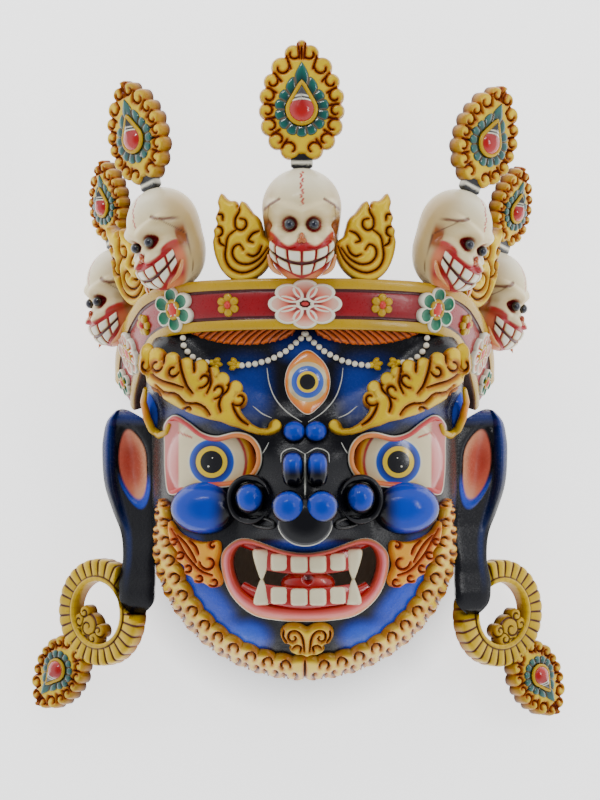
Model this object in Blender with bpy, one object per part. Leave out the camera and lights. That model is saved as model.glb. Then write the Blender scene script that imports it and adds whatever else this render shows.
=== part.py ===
"""A carved and painted wooden mask of a wrathful protector, with its crown of skulls.

The mask lies on its back: +Z comes out of the face, +Y runs from chin to crown and X across the face.
Lengths are in metres. The carving of the face is drawn in CARVING_SCALE, so it grows with the face.
"""

import math

import bmesh
import bpy
import numpy as np
from mathutils import Matrix, Vector

# The head: a hollow shell, open at the back
FACE_WIDTH = 0.326
FACE_DEPTH = 0.195
JAW_DROP = 0.158
FOREHEAD_RISE = 0.240
CHEEK_LINE = -0.053
TEMPLE_FLARE = 0.004
SIDE_WALL = 0.014
FRONT_WALL = 0.023
RIM_TRIM = 0.006

# Clearance between pieces that touch
FIT = 0.00045
BITE = 0.003

# The crown band, whose rims frame a red field with flowers
BAND_HEIGHT = 0.051
BAND_RIM = 0.009
BAND_RIM_RISE = 0.003
BAND_FREE_THICKNESS = 0.014
BAND_BELOW_TOP = 0.024
FLOWER_RISE = 0.006

# Skulls, jewelled finials and scroll wings on the crown
SKULL_HEIGHT = 0.110
SIDE_SKULL_HEIGHT = 0.102
FINIAL_HEIGHT = 0.120
SIDE_FINIAL_HEIGHT = 0.108
FAR_FINIAL_HEIGHT = 0.086
FINIAL_THICKNESS = 0.012
PEG_WIDTH = 0.022
PEG_THICKNESS = 0.010
PEG_LENGTH = 0.012
WING_HEIGHT = 0.088
WING_THICKNESS = 0.012
WING_INSET = 0.005

# Ears and earrings
EAR_HEIGHT = 0.214
EAR_TOP = 0.071
EAR_FRONT = 0.100
EAR_THICKNESS = 0.032
EAR_SWEEP = 0.40
RING_RADIUS = 0.0442
RING_HALF_WIDTH = 0.0117
RING_THICKNESS = 0.016
TAIL_LENGTH = 0.094
TAIL_THICKNESS = 0.014

HALF_FACE = FACE_WIDTH / 2
CARVING_SCALE = 0.963 * HALF_FACE

# Triangles that each solid keeps
HEAD_TRIANGLES = 2500
BAND_TRIANGLES = 1000
SKULL_MASS_TRIANGLES = 170
SKULL_SHARE_KEPT = 0.75
FINIAL_TRIANGLES = 210
WING_TRIANGLES = 170
EAR_TRIANGLES = 120
EARRING_TRIANGLES = 340


# Small shaping functions

def smooth_step(value, start, end):
    """0 before start, 1 after end, and a smooth rise between them."""
    share = np.clip((value - start) / (end - start), 0.0, 1.0)
    return share * share * (3.0 - 2.0 * share)


def smooth_max(first, second, blend):
    """The greater of two surfaces, with the crease between them rounded over blend."""
    share = np.clip(0.5 + 0.5 * (first - second) / blend, 0.0, 1.0)
    return second + (first - second) * share + blend * share * (1.0 - share)


def bump(distance):
    """A soft hill: 1 in its middle, level with the ground from distance 1 outwards."""
    return np.clip(1.0 - distance * distance, 0.0, 1.0) ** 2


def ball(x, y, centre, radii, lift, rise):
    """A half ball of the given radii, standing lift above the ground; deep below it outside."""
    distance = np.hypot((x - centre[0]) / radii[0], (y - centre[1]) / radii[1])
    inside = rise * np.sqrt(np.clip(1.0 - distance * distance, 0.0, 1.0))
    return lift + np.where(distance < 1.0, inside, (1.0 - distance) * 1.5)


def curve_through(places, values, at):
    """A smooth curve through (place, value) pairs: a Hermite cubic with averaged slopes."""
    places, values = np.asarray(places, float), np.asarray(values, float)
    slopes = np.gradient(values, places, axis=0)
    at = np.clip(at, places[0], places[-1])
    left = np.clip(np.searchsorted(places, at) - 1, 0, len(places) - 2)
    width = places[left + 1] - places[left]
    share = (at - places[left]) / width
    if values.ndim > 1:
        share, width = share[..., None], width[..., None]
    cube, square = share**3, share**2
    return (
        (2 * cube - 3 * square + 1) * values[left]
        + (cube - 2 * square + share) * width * slopes[left]
        + (3 * square - 2 * cube) * values[left + 1]
        + (cube - square) * width * slopes[left + 1]
    )


def reach_of_discs(angles, discs):
    """How far the union of discs (x, y, radius) reaches from the origin in each direction."""
    reach = np.zeros_like(angles)
    for x, y, radius in discs:
        along = x * np.cos(angles) + y * np.sin(angles)
        beside = x * x + y * y - along * along
        inside = radius * radius - beside
        exit_at = along + np.sqrt(np.clip(inside, 0.0, None))
        reach = np.maximum(reach, np.where(inside > 0.0, exit_at, 0.0))
    return reach


# Meshes

def points_of(*columns):
    return np.stack(np.broadcast_arrays(*columns), axis=-1)


def skin(rings, first_pole=None, last_pole=None, wrap_ends=False):
    """Vertices and faces over rings of points; its ends meet, close on a pole or are capped flat."""
    count, around = rings.shape[:2]
    vertices = [tuple(p) for p in rings.reshape(-1, 3)]
    faces = []
    for row in range(count if wrap_ends else count - 1):
        here, there = row * around, ((row + 1) % count) * around
        for step in range(around):
            after = (step + 1) % around
            faces.append((here + step, here + after, there + after, there + step))
    if wrap_ends:
        return vertices, faces
    for pole, row in ((first_pole, 0), (last_pole, count - 1)):
        ring = [row * around + step for step in range(around)]
        if pole is None:
            faces.append(tuple(ring))
            continue
        vertices.append(tuple(pole))
        tip = len(vertices) - 1
        faces.extend((ring[step], ring[(step + 1) % around], tip) for step in range(around))
    return vertices, faces


def mesh_of(name, vertices, faces):
    """A closed mesh whose faces point outwards."""
    mesh = bpy.data.meshes.new(name)
    mesh.from_pydata(vertices, [], faces)
    work = bmesh.new()
    work.from_mesh(mesh)
    bmesh.ops.recalc_face_normals(work, faces=work.faces)
    work.to_mesh(mesh)
    work.free()
    return mesh


def add_object(name, mesh, parent=None, place=None):
    thing = bpy.data.objects.new(name, mesh)
    bpy.context.scene.collection.objects.link(thing)
    thing.parent = parent
    if place is not None:
        thing.matrix_basis = place
    return thing


def add_material(name, colour, roughness, metallic=0.0):
    material = bpy.data.materials.new(name)
    material.use_nodes = True
    surface = material.node_tree.nodes["Principled BSDF"]
    surface.inputs["Base Color"].default_value = (*colour, 1.0)
    surface.inputs["Roughness"].default_value = roughness
    surface.inputs["Metallic"].default_value = metallic
    return material


def thin_to(thing, triangles):
    """Keeps about this many triangles, most of them where the carving turns."""
    drawn = sum(len(face.vertices) - 2 for face in thing.data.polygons)
    for modifier in thing.modifiers:
        drawn += sum(len(face.vertices) - 2 for face in modifier.object.data.polygons)
    thin = thing.modifiers.new("Thin", "DECIMATE")
    thin.use_collapse_triangulate = True
    thin.ratio = min(1.0, triangles / drawn)


def thin_again(thing, share):
    """Drops the least of the triangles that joining pieces has added."""
    thin = thing.modifiers.new("ThinAgain", "DECIMATE")
    thin.use_collapse_triangulate = True
    thin.ratio = share


def dress(thing, material):
    thing.data.materials.append(material)
    thing.data.shade_smooth()


def hide_helper(thing):
    thing.hide_render = True
    thing.display_type = "WIRE"
    return thing


def combine(thing, helper, operation):
    join = thing.modifiers.new(operation.title(), "BOOLEAN")
    join.operation = operation
    join.solver = "EXACT"
    join.object = helper


def clearance_of(thing, gap):
    """A hidden copy of a piece, gap bigger all round, that cuts the neighbours seated on it."""
    copy = add_object(thing.name + "_clearance", thing.data, thing.parent, thing.matrix_basis)
    for modifier in thing.modifiers:
        twin = copy.modifiers.new(modifier.name, modifier.type)
        if modifier.type == "DECIMATE":
            twin.use_collapse_triangulate = True
            twin.ratio = modifier.ratio
        else:
            twin.operation = modifier.operation
            twin.solver = "EXACT"
            twin.object = modifier.object
    swell = copy.modifiers.new("Swell", "DISPLACE")
    swell.mid_level = 0.0
    swell.strength = gap
    return hide_helper(copy)


# The head

TEMPLE_START, TEMPLE_END = 0.16 * HALF_FACE, 0.56 * HALF_FACE
SQUARE_START, SQUARE_END = 0.40 * HALF_FACE, 0.95 * HALF_FACE
ROUND_SIDES, SQUARE_TOP = 3.4, 8.0
FOREHEAD_SQUARENESS = 6.0
HEAD_COLUMNS, HEAD_ROWS, LINING_ROWS = 264, 84, 16

# Places of the carving: x, y, in carving scales from the middle of the face
EYE = (0.615, 0.115)
EYEBALL = (0.300, 0.235)
EYE_LOW_LID = ((0.28, 0.36, 0.53, 0.72, 0.90), (0.14, 0.01, -0.035, -0.03, -0.09))
EYE_TOP_LID = ((0.28, 0.34, 0.43, 0.56, 0.67, 0.83, 0.92), (0.16, 0.275, 0.305, 0.27, 0.29, 0.40, 0.34))
EYE_CORNERS = (0.285, 0.905)
CHEEK = (0.68, -0.18)
NOSE_TIP = (0.109, -0.17)
NOSTRIL = (0.35, -0.115)
THIRD_EYE = (0.0, 0.625)
BROW_LINE = ((0.17, 0.30, 0.42, 0.70, 1.02), (0.315, 0.335, 0.39, 0.60, 0.80))
BROW_HALF_HEIGHT = ((0.17, 0.22, 0.32, 0.46, 0.70, 1.02), (0.055, 0.05, 0.045, 0.15, 0.17, 0.10))
BROW_INNER_END = 0.17
MOUTH_Y = -0.641
LIPS_Y = -0.676
SMILE = 0.50
BEARD_INNER_LEVEL = 0.875
BEARD_TOP = -0.10
TOOTH_PLACES = (0.061, 0.183)
FANG_PLACE = 0.295
MOUTH_HOLES = ((0.385, -0.575, 0.043, 0.095), (0.215, -0.632, 0.062, 0.034))


def level_of(x, y):
    """How far out a point of the face lies: 0 in its middle, 1 on the rim."""
    half = HALF_FACE + TEMPLE_FLARE * smooth_step(y, TEMPLE_START, TEMPLE_END)
    across, up = np.abs(x) / half, (y - CHEEK_LINE)
    jaw = np.hypot(across, up / JAW_DROP)
    power = FOREHEAD_SQUARENESS
    forehead = (across**power + np.abs(up / FOREHEAD_RISE) ** power) ** (1.0 / power)
    return np.where(up < 0.0, jaw, forehead)


def dome(level, y, depth):
    """Depth of a plain dome at a level, round at the jaw and square at the forehead."""
    power = ROUND_SIDES + (SQUARE_TOP - ROUND_SIDES) * smooth_step(y, SQUARE_START, SQUARE_END)
    return depth * np.clip(1.0 - level**power, 0.0, 1.0) ** (1.0 / power)


def ray_to_level(angles, levels):
    """Distance from the cheek line's middle to each level along each direction, by bisection."""
    angles, levels = np.broadcast_arrays(angles, levels)
    near, far = np.zeros(angles.shape), np.full(angles.shape, 2.2 * FOREHEAD_RISE)
    for _ in range(36):
        middle = (near + far) / 2
        x, y = middle * np.cos(angles), CHEEK_LINE + middle * np.sin(angles)
        beyond = level_of(x, y) > levels
        far, near = np.where(beyond, middle, far), np.where(beyond, near, middle)
    return (near + far) / 2


def superellipse(across, up, power):
    return (np.abs(across) ** power + np.abs(up) ** power) ** (1.0 / power)


def socket_depth(side, y):
    """How far inside the eye's opening a point lies, in half face widths, negative outside it."""
    top = curve_through(*EYE_TOP_LID, side)
    low = curve_through(*EYE_LOW_LID, side)
    inside = -smooth_max(-(top - y), -(y - low), 0.05)
    inside = -smooth_max(-inside, -(side - EYE_CORNERS[0]), 0.06)
    return -smooth_max(-inside, -(EYE_CORNERS[1] - side), 0.03)


def carve_forms(side, y):
    """The large soft forms: muzzle, nose and brow ridge."""
    muzzle = 0.13 * bump(np.hypot(side / 0.78, (y + 0.62) / 0.46))
    down = smooth_step(-y, -0.38, 0.10)
    nose = (0.07 + 0.17 * down) * bump(side / (0.24 + 0.20 * down))
    nose = nose * smooth_step(y, -0.50, -0.30) * smooth_step(-y, -0.55, -0.38)
    ridge = curve_through(*BROW_LINE, side) - 0.02
    brow = 0.11 * bump((y - ridge) / 0.30) * smooth_step(side, 0.05, 0.30)
    forehead = 0.04 * bump(np.hypot(side / 0.55, (y - 0.62) / 0.45))
    chin = 0.05 * bump(np.hypot((side - 0.36) / 0.24, (y + 1.00) / 0.17))
    return muzzle + nose + brow + forehead + chin


def carve_balls(side, y, rise):
    """The round knobs of nose, cheeks and brow, and the third eye."""
    forms = (
        ((0.07, 0.305), (0.078, 0.07), 0.10, 0.07),
        ((0.08, 0.10), (0.076, 0.14), 0.19, 0.07),
        (NOSE_TIP, (0.100, 0.094), 0.25, 0.085),
        ((0.0, -0.28), (0.20, 0.13), 0.17, 0.12),
        (NOSTRIL, (0.165, 0.150), 0.03, 0.13),
        (NOSTRIL, (0.080, 0.085), 0.13, 0.07),
        (CHEEK, (0.18, 0.172), -0.01, 0.19),
        (THIRD_EYE, (0.150, 0.205), 0.02, 0.055),
        ((0.0, 0.615), (0.105, 0.110), 0.045, 0.070),
        ((0.98, 0.50), (0.12, 0.15), 0.05, 0.06),
    )
    for centre, radii, lift, height in forms:
        rise = smooth_max(rise, ball(side, y, centre, radii, lift, height), 0.02)
    return rise


def carve_eyes(side, y, rise):
    """A deep socket with a raised lid round a bulging eyeball."""
    inside = socket_depth(side, y)
    lid = 0.05 * bump((inside + 0.01) / 0.065)
    floor = rise - 0.08
    rise = rise + lid
    rise = rise + (floor - rise) * smooth_step(inside, 0.0, 0.03)
    eye = ball(side, y, EYE, EYEBALL, -0.06, 0.14)
    return np.where(inside > 0.0, np.maximum(rise, eye), rise)


def carve_mouth(side, y, rise):
    """Thick lips round a sunken mouth with two rows of teeth and a tongue."""
    lips_y, mouth_y = LIPS_Y + SMILE * side**2, MOUTH_Y + SMILE * side**2
    outer = superellipse(side / 0.535, (y - lips_y) / 0.228, 3.2)
    inner = superellipse(side / 0.436, (y - mouth_y) / 0.167, 3.2)
    rise = rise + 0.075 * smooth_step(-outer, -1.06, -0.90)
    floor = rise - 0.20
    for place in TOOTH_PLACES:
        for middle in (-0.530, -0.742):
            tooth = superellipse((side - place) / 0.058, (y - middle - 0.3 * side**2) / 0.060, 4.0)
            floor = np.maximum(floor, rise - 0.20 + 0.115 * smooth_step(-tooth, -1.05, -0.70))
    for middle, half in ((-0.555, 0.095), (-0.715, 0.075)):
        fang = superellipse((side - FANG_PLACE) / 0.052, (y - middle) / half, 3.0)
        floor = np.maximum(floor, rise - 0.20 + 0.125 * smooth_step(-fang, -1.05, -0.65))
    tongue = ball(side, y, (0.0, -0.64), (0.17, 0.06), 0.0, 0.06)
    floor = np.maximum(floor, rise - 0.20 + np.clip(tongue, 0.0, None))
    return rise + (floor - rise) * smooth_step(-inner, -1.02, -0.93)


def carve_gold(side, y, level, rise):
    """Flame brows, scrolled cheeks, chin ornament and the beard along the jaw."""
    brow_y = curve_through(*BROW_LINE, side)
    brow_half = curve_through(*BROW_HALF_HEIGHT, side) * (1.0 + 0.14 * np.sin(side * 38.0))
    brow = smooth_step(brow_half - np.abs(y - brow_y), 0.0, 0.03)
    brow = brow * smooth_step(side, BROW_INNER_END - 0.02, BROW_INNER_END + 0.02)
    turn = np.arctan2(y - CHEEK_LINE / CARVING_SCALE, side)
    wave = 0.016 * np.sin(turn * 22.0)
    beard = smooth_step(level, BEARD_INNER_LEVEL + wave, BEARD_INNER_LEVEL + wave + 0.02)
    beard = beard * smooth_step(-y, -BEARD_TOP, 0.04 - BEARD_TOP)
    reach = np.hypot(side - CHEEK[0], y - CHEEK[1])
    bearing = np.arctan2(y - CHEEK[1], side - CHEEK[0])
    crescent = smooth_step(reach, 0.19, 0.20) * smooth_step(-reach, -0.35, -0.33)
    crescent = crescent * smooth_step(-bearing, 0.15, 0.35) * smooth_step(bearing, -2.25, -2.05)
    chin = smooth_step(-np.hypot(side / 0.17, (y + 1.015) / 0.10), -1.1, -0.9)
    return rise + 0.05 * (brow + beard) + 0.035 * np.maximum(crescent, chin)


def carve(x, y, level):
    """Rise of the whole carving over the dome, in metres."""
    side, up = np.abs(x) / CARVING_SCALE, y / CARVING_SCALE
    rise = carve_forms(side, up)
    rise = carve_eyes(side, up, rise)
    rise = carve_balls(side, up, rise)
    rise = carve_mouth(side, up, rise)
    rise = carve_gold(side, up, level, rise)
    under_crown = smooth_step(-up, -0.95, -0.87)
    return CARVING_SCALE * rise * under_crown * smooth_step(1.0 - level, 0.0, 0.035)


def shell_rows(count):
    """Levels from the middle of a dome to its rim, evenly spaced along its profile."""
    turn = np.linspace(0.0, math.pi / 2, 2000)
    across, up = np.sin(turn) ** (2 / ROUND_SIDES), np.cos(turn) ** (2 / ROUND_SIDES)
    length = np.concatenate([[0.0], np.cumsum(np.hypot(np.diff(across), np.diff(up)))])
    return np.interp(np.linspace(0.0, length[-1], count + 1)[1:], length, across)


def head_mesh():
    angles = np.linspace(0.0, 2 * math.pi, HEAD_COLUMNS, endpoint=False)
    rows = shell_rows(HEAD_ROWS)[:, None]
    reach = ray_to_level(angles[None, :], rows)
    x, y = reach * np.cos(angles), CHEEK_LINE + reach * np.sin(angles)
    level = np.broadcast_to(rows, x.shape)
    front = points_of(x, y, dome(level, y, FACE_DEPTH) + carve(x, y, level))
    rows = shell_rows(LINING_ROWS)[:, None]
    reach = ray_to_level(angles[None, :], rows)
    shrink = 1.0 - SIDE_WALL / HALF_FACE
    inside_y = CHEEK_LINE + reach * np.sin(angles)
    lining_depth = dome(np.broadcast_to(rows, reach.shape), inside_y, FACE_DEPTH - FRONT_WALL)
    lining = points_of(
        reach * np.cos(angles) * shrink,
        CHEEK_LINE + reach * np.sin(angles) * shrink,
        lining_depth,
    )
    below = np.array([0.0, 0.0, -RIM_TRIM])
    rings = np.concatenate([front, front[-1:] + below, lining[-1:] + below, lining[::-1]])
    middle = np.array([0.0]), np.array([CHEEK_LINE])
    nose = FACE_DEPTH + carve(*middle, np.array([0.0]))[0]
    return mesh_of(
        "head",
        *skin(
            rings,
            first_pole=(0.0, CHEEK_LINE, nose),
            last_pole=(0.0, CHEEK_LINE, FACE_DEPTH - FRONT_WALL),
        ),
    )


def mouth_cutter(parent):
    """Four rounded prisms that pierce the corners of the mouth and the gaps between the teeth."""
    work = bmesh.new()
    for side in (-1, 1):
        for x, y, half_width, half_height in MOUTH_HOLES:
            place = Matrix.Translation((side * x * CARVING_SCALE, y * CARVING_SCALE, FACE_DEPTH))
            width, height = half_width * CARVING_SCALE, half_height * CARVING_SCALE
            size = Matrix.Diagonal((width, height, 2 * FACE_DEPTH, 1))
            bmesh.ops.create_cone(
                work, cap_ends=True, segments=10, radius1=1, radius2=1, depth=1, matrix=place @ size
            )
    mesh = bpy.data.meshes.new("mouth_cutter")
    work.to_mesh(mesh)
    work.free()
    return hide_helper(add_object("mouth_cutter", mesh, parent))


def floor_cutter(parent):
    """A block that trims the back rim flat, so the mask lies steady."""
    work = bmesh.new()
    place = Matrix.Translation((0, 0, -RIM_TRIM))
    size = Matrix.Diagonal((4 * FACE_WIDTH, 4 * FACE_WIDTH, 2 * RIM_TRIM, 1))
    bmesh.ops.create_cube(work, size=1, matrix=place @ size)
    mesh = bpy.data.meshes.new("floor_cutter")
    work.to_mesh(mesh)
    work.free()
    return hide_helper(add_object("floor_cutter", mesh, parent))


def build_head(parent, material):
    head = add_object("head", head_mesh(), parent)
    dress(head, material)
    thin_to(head, HEAD_TRIANGLES)
    combine(head, mouth_cutter(parent), "DIFFERENCE")
    combine(head, floor_cutter(parent), "DIFFERENCE")
    return head


# The crown band: a ribbon from ear to ear over the forehead

# Its middle line, right half: x in half face widths, y in BAND_REACH and z in face depths
BAND_REACH = CHEEK_LINE + FOREHEAD_RISE - BAND_BELOW_TOP
BAND_LINE = (
    (0.00, 1.075, 1.110),
    (0.25, 1.074, 1.103),
    (0.50, 1.068, 1.060),
    (0.72, 1.055, 0.995),
    (0.86, 1.035, 0.910),
    (0.96, 0.990, 0.800),
    (1.04, 0.900, 0.640),
    (1.11, 0.765, 0.415),
    (1.145, 0.640, 0.270),
    (1.155, 0.530, 0.175),
)
BAND_FLARE = ((0.0, 0.4, 0.7, 1.0), (0.04, 0.10, 0.28, 0.30))
BAND_SECTIONS, BAND_BACK_ROWS = 37, 3
# The middle of each big or small flower, as a share of the half band: share, radius, petals
FLOWERS = (
    (0.000, 0.0245, 8),
    (0.236, 0.0115, 6),
    (0.415, 0.0230, 6),
    (0.585, 0.0115, 6),
    (0.785, 0.0235, 8),
    (0.945, 0.0120, 6),
)
LOTUS_STRETCH = 1.50
BUTTON_SHARE = 0.30


def band_length():
    """Length of the middle line of half the band."""
    line = np.array(BAND_LINE) * np.array([HALF_FACE, BAND_REACH, FACE_DEPTH])
    return np.linalg.norm(np.diff(line, axis=0), axis=1).sum()


def band_at(shares):
    """Middle point, outward and upward directions of the band at shares of its half length."""
    shares = np.asarray(shares, float)
    line = np.array(BAND_LINE) * np.array([HALF_FACE, BAND_REACH, FACE_DEPTH])
    places = np.concatenate([[0.0], np.cumsum(np.linalg.norm(np.diff(line, axis=0), axis=1))])
    places = places / places[-1]
    mirrored = np.concatenate([-places[:0:-1], places])
    both = np.concatenate([line[:0:-1] * [-1, 1, 1], line])
    step = 0.02
    point = curve_through(mirrored, both, shares)
    ahead = curve_through(mirrored, both, np.minimum(shares + step, 1.0))
    along = ahead - curve_through(mirrored, both, np.maximum(shares - step, -1.0))
    along = along / np.linalg.norm(along, axis=-1, keepdims=True)
    level = points_of(-along[..., 2], 0.0, along[..., 0])
    level = level / np.linalg.norm(level, axis=-1, keepdims=True)
    flare = curve_through(*BAND_FLARE, np.abs(shares))[..., None]
    upward = np.array([0.0, 1.0, 0.0]) + level * flare
    upward = upward - along * np.sum(upward * along, axis=-1, keepdims=True)
    upward = upward / np.linalg.norm(upward, axis=-1, keepdims=True)
    return point, np.cross(along, upward), upward


def distance_to_head(points, direction):
    """How far each point is from the plain head along a direction, limited to a free edge's depth."""
    near, far = np.zeros(points.shape[:-1]), np.full(points.shape[:-1], 0.3 * FACE_DEPTH)
    for _ in range(30):
        middle = (near + far) / 2
        probe = points + direction * middle[..., None]
        level = level_of(probe[..., 0], probe[..., 1])
        inside = probe[..., 2] < dome(np.minimum(level, 1.0), probe[..., 1], FACE_DEPTH)
        inside = inside & (level < 1.0)
        far, near = np.where(inside, middle, far), np.where(inside, near, middle)
    return far


def band_mesh():
    """Cross sections along the band: two raised rims, the field between them, and the back."""
    shares = np.linspace(-1.0, 1.0, BAND_SECTIONS)
    point, outward, upward = band_at(shares)
    edge = BAND_HEIGHT / 2
    field = edge - BAND_RIM
    profile = np.array(
        [
            (-edge, BAND_RIM_RISE),
            (-field - 0.001, BAND_RIM_RISE),
            (-field, 0.0),
            (field, 0.0),
            (field + 0.001, BAND_RIM_RISE),
            (edge, BAND_RIM_RISE),
        ]
    )
    face = point[:, None] + upward[:, None] * profile[:, :1] + outward[:, None] * profile[:, 1:]
    up = np.linspace(edge, -edge, BAND_BACK_ROWS)
    base = point[:, None] + upward[:, None] * up[:, None]
    inwards = np.broadcast_to(-outward[:, None], base.shape)
    depth = distance_to_head(base, inwards)
    missed = smooth_step(depth, 0.24 * FACE_DEPTH, 0.29 * FACE_DEPTH)
    depth = (depth + BITE) * (1.0 - missed) + BAND_FREE_THICKNESS * missed
    back = base + inwards * depth[..., None]
    return mesh_of("crown_band", *skin(np.concatenate([face, back], axis=1)))


def flower_mesh(radius, petals, stretch):
    """A low flower facing +Z: a ring of round petals and a raised button, rooted below the origin."""
    points = petals * (3 if radius > 0.02 else 2)
    angles = np.linspace(0.0, 2 * math.pi, points, endpoint=False)
    notch = np.arange(points) % (points // petals) == 0
    reach = radius * np.where(notch, 0.76, 1.0)
    root, top, button = -2 * BITE, FLOWER_RISE, FLOWER_RISE + 0.002
    rows = ((1.0, root), (1.0, top), (BUTTON_SHARE, top * 0.6))
    rings = [points_of(s * reach * np.cos(angles) * stretch, s * reach * np.sin(angles), z) for s, z in rows]
    return mesh_of("flower", *skin(np.array(rings), first_pole=(0, 0, root), last_pole=(0, 0, button)))


def build_band(parent, material, head_clearance):
    band = add_object("crown_band", band_mesh(), parent)
    dress(band, material)
    for share, radius, petals in FLOWERS:
        shape = flower_mesh(radius, petals, 1.0 if share else LOTUS_STRETCH)
        for side in (-1, 1) if share else (1,):
            point, outward, upward = band_at([side * share])
            across = np.cross(upward, outward)
            place = Matrix(np.stack([across[0], upward[0], outward[0]], axis=1)).to_4x4()
            place.translation = point[0]
            flower = hide_helper(add_object(f"flower_{side * share}", shape, parent, place))
            combine(band, flower, "UNION")
    thin_to(band, BAND_TRIANGLES)
    combine(band, head_clearance, "DIFFERENCE")
    return band


# Skulls of the crown, each standing on its jaw

SKULL_COLUMNS, SKULL_ROWS = 72, 54
SKULL_MIDDLE = 0.50
# Shares of the skull's height: middle and radii of each rounded mass
CRANIUM = ((0.0, 0.640, -0.03), (0.360, 0.362, 0.36))
JAW = ((0.0, 0.27, 0.07), (0.285, 0.30, 0.30))
SOCKETS = (
    ((0.115, 0.500, 0.315), (0.078, 0.084, 0.09)),
    ((-0.115, 0.500, 0.315), (0.078, 0.084, 0.09)),
    ((0.0, 0.395, 0.395), (0.050, 0.060, 0.07)),
)
MOUTH_HALF_WIDTH, MOUTH_HALF_HEIGHT, MOUTH_LINE = 0.275, 0.115, 0.165
MOUTH_CURVE = 1.2


def exit_of_ellipsoid(direction, start, middle, radii):
    """Distance from start to the far side of an ellipsoid along a direction."""
    ray, offset = direction / radii, (start - middle) / radii
    a = np.sum(ray * ray, axis=-1)
    b = np.sum(ray * offset, axis=-1)
    c = np.sum(offset * offset, axis=-1) - 1.0
    return (-b + np.sqrt(np.clip(b * b - a * c, 0.0, None))) / a


def skull_mesh():
    """The smooth mass of a skull one unit high, standing on the origin and facing +Z."""
    turn = np.linspace(0.0, 2 * math.pi, SKULL_COLUMNS, endpoint=False)[None, :]
    rise = np.linspace(-math.pi / 2, math.pi / 2, SKULL_ROWS + 2)[1:-1, None]
    direction = points_of(np.cos(rise) * np.sin(turn), np.sin(rise), np.cos(rise) * np.cos(turn))
    start = np.array([0.0, SKULL_MIDDLE, 0.0])
    reach = smooth_max(
        exit_of_ellipsoid(direction, start, np.array(CRANIUM[0]), np.array(CRANIUM[1])),
        exit_of_ellipsoid(direction, start, np.array(JAW[0]), np.array(JAW[1])),
        0.05,
    )
    side, y = np.abs(direction[..., 0] * reach), SKULL_MIDDLE + direction[..., 1] * reach
    brow = 0.04 * bump((y - 0.55 - 0.3 * side) / 0.12) * smooth_step(-side, -0.34, -0.24)
    cheek = 0.05 * bump(np.hypot((side - 0.20) / 0.12, (y - 0.40) / 0.09))
    muzzle = 0.045 * bump(np.hypot(side / 0.16, (y - 0.40) / 0.12))
    front = smooth_step(direction[..., 2], 0.0, 0.3)
    surface = start + direction * (reach + (brow + cheek + muzzle) * front)[..., None]
    surface[..., 1] = np.clip(surface[..., 1], 0.0, 1.0)
    return mesh_of("skull", *skin(surface, first_pole=(0, 0, 0), last_pole=(0, 1, 0)))


def sockets_mesh():
    """Three tapered cutters for the eyes and the nose of a skull one unit high."""
    work = bmesh.new()
    for middle, radii in SOCKETS:
        place = Matrix.Translation(middle) @ Matrix.Diagonal((*radii, 1))
        bmesh.ops.create_cone(
            work, cap_ends=True, segments=10, radius1=0.6, radius2=1.2, depth=1.6, matrix=place
        )
    mesh = bpy.data.meshes.new("sockets")
    work.to_mesh(mesh)
    work.free()
    return mesh


def teeth_mesh():
    """The grin of a skull one unit high: two rows of teeth as one grooved band round the jaw."""
    x = MOUTH_HALF_WIDTH * np.linspace(-1.0, 1.0, 9)[:, None]
    half = MOUTH_HALF_HEIGHT * np.sqrt(1.0 - 0.8 * (x / MOUTH_HALF_WIDTH) ** 2)
    share = np.array([1.0, 0.92, 0.10, 0.0, -0.10, -0.92, -1.0])
    rise = np.array([-0.06, 0.040, 0.035, 0.012, 0.035, 0.030, -0.06])
    y = MOUTH_LINE + MOUTH_CURVE * x**2 + half * share
    (jaw_x, jaw_y, jaw_z), (across, up, out) = JAW
    left = 1.0 - ((x - jaw_x) / across) ** 2 - ((y - jaw_y) / up) ** 2
    z = jaw_z + out * np.sqrt(np.clip(left, 0.0, None)) + rise
    return mesh_of("teeth", *skin(points_of(x, y, z)))


def upright_frame(place, turn, lean, tip):
    """A matrix that stands a piece at place, turned and tipped outwards and leaning back, in degrees."""
    return (
        Matrix.Translation(place)
        @ Matrix.Rotation(math.radians(-tip), 4, "Z")
        @ Matrix.Rotation(math.radians(turn), 4, "Y")
        @ Matrix.Rotation(math.radians(-lean), 4, "X")
    )


def seat_on_band(share, sink, inset):
    """The point on the band's top edge at a share of its half length, sink below it, inset behind it."""
    point, outward, upward = band_at([share])
    return Vector(point[0] + upward[0] * (BAND_HEIGHT / 2 - sink) - outward[0] * inset)


# name: share of the half band, inset behind its face, degrees turned, leaning back and tipped outwards
SKULL_STANDS = {
    "centre": (-0.010, 0.005, 0.0, 0.0, 0.0),
    "left": (-0.395, 0.005, -48.0, 4.0, -21.0),
    "right": (0.420, 0.005, 48.0, 4.0, 23.0),
    "far_left": (-0.855, 0.012, -66.0, 0.0, -10.0),
    "far_right": (0.870, 0.010, 66.0, 0.0, 12.0),
}
# name: degrees turned, leaning back and tipped outwards
FINIAL_STANDS = {
    "centre": (0.0, 0.0, 0.0),
    "left": (-40.0, 12.0, -22.0),
    "right": (34.0, 12.0, 25.0),
    "far_left": (-52.0, 10.0, -16.0),
    "far_right": (50.0, 10.0, 22.0),
}
SKULL_SINK, TILT_SINK = 0.0008, 0.006


def skull_height(name):
    return SKULL_HEIGHT if name == "centre" else SIDE_SKULL_HEIGHT


def finial_height(name):
    if name.startswith("far"):
        return FAR_FINIAL_HEIGHT
    return FINIAL_HEIGHT if name == "centre" else SIDE_FINIAL_HEIGHT


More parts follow.
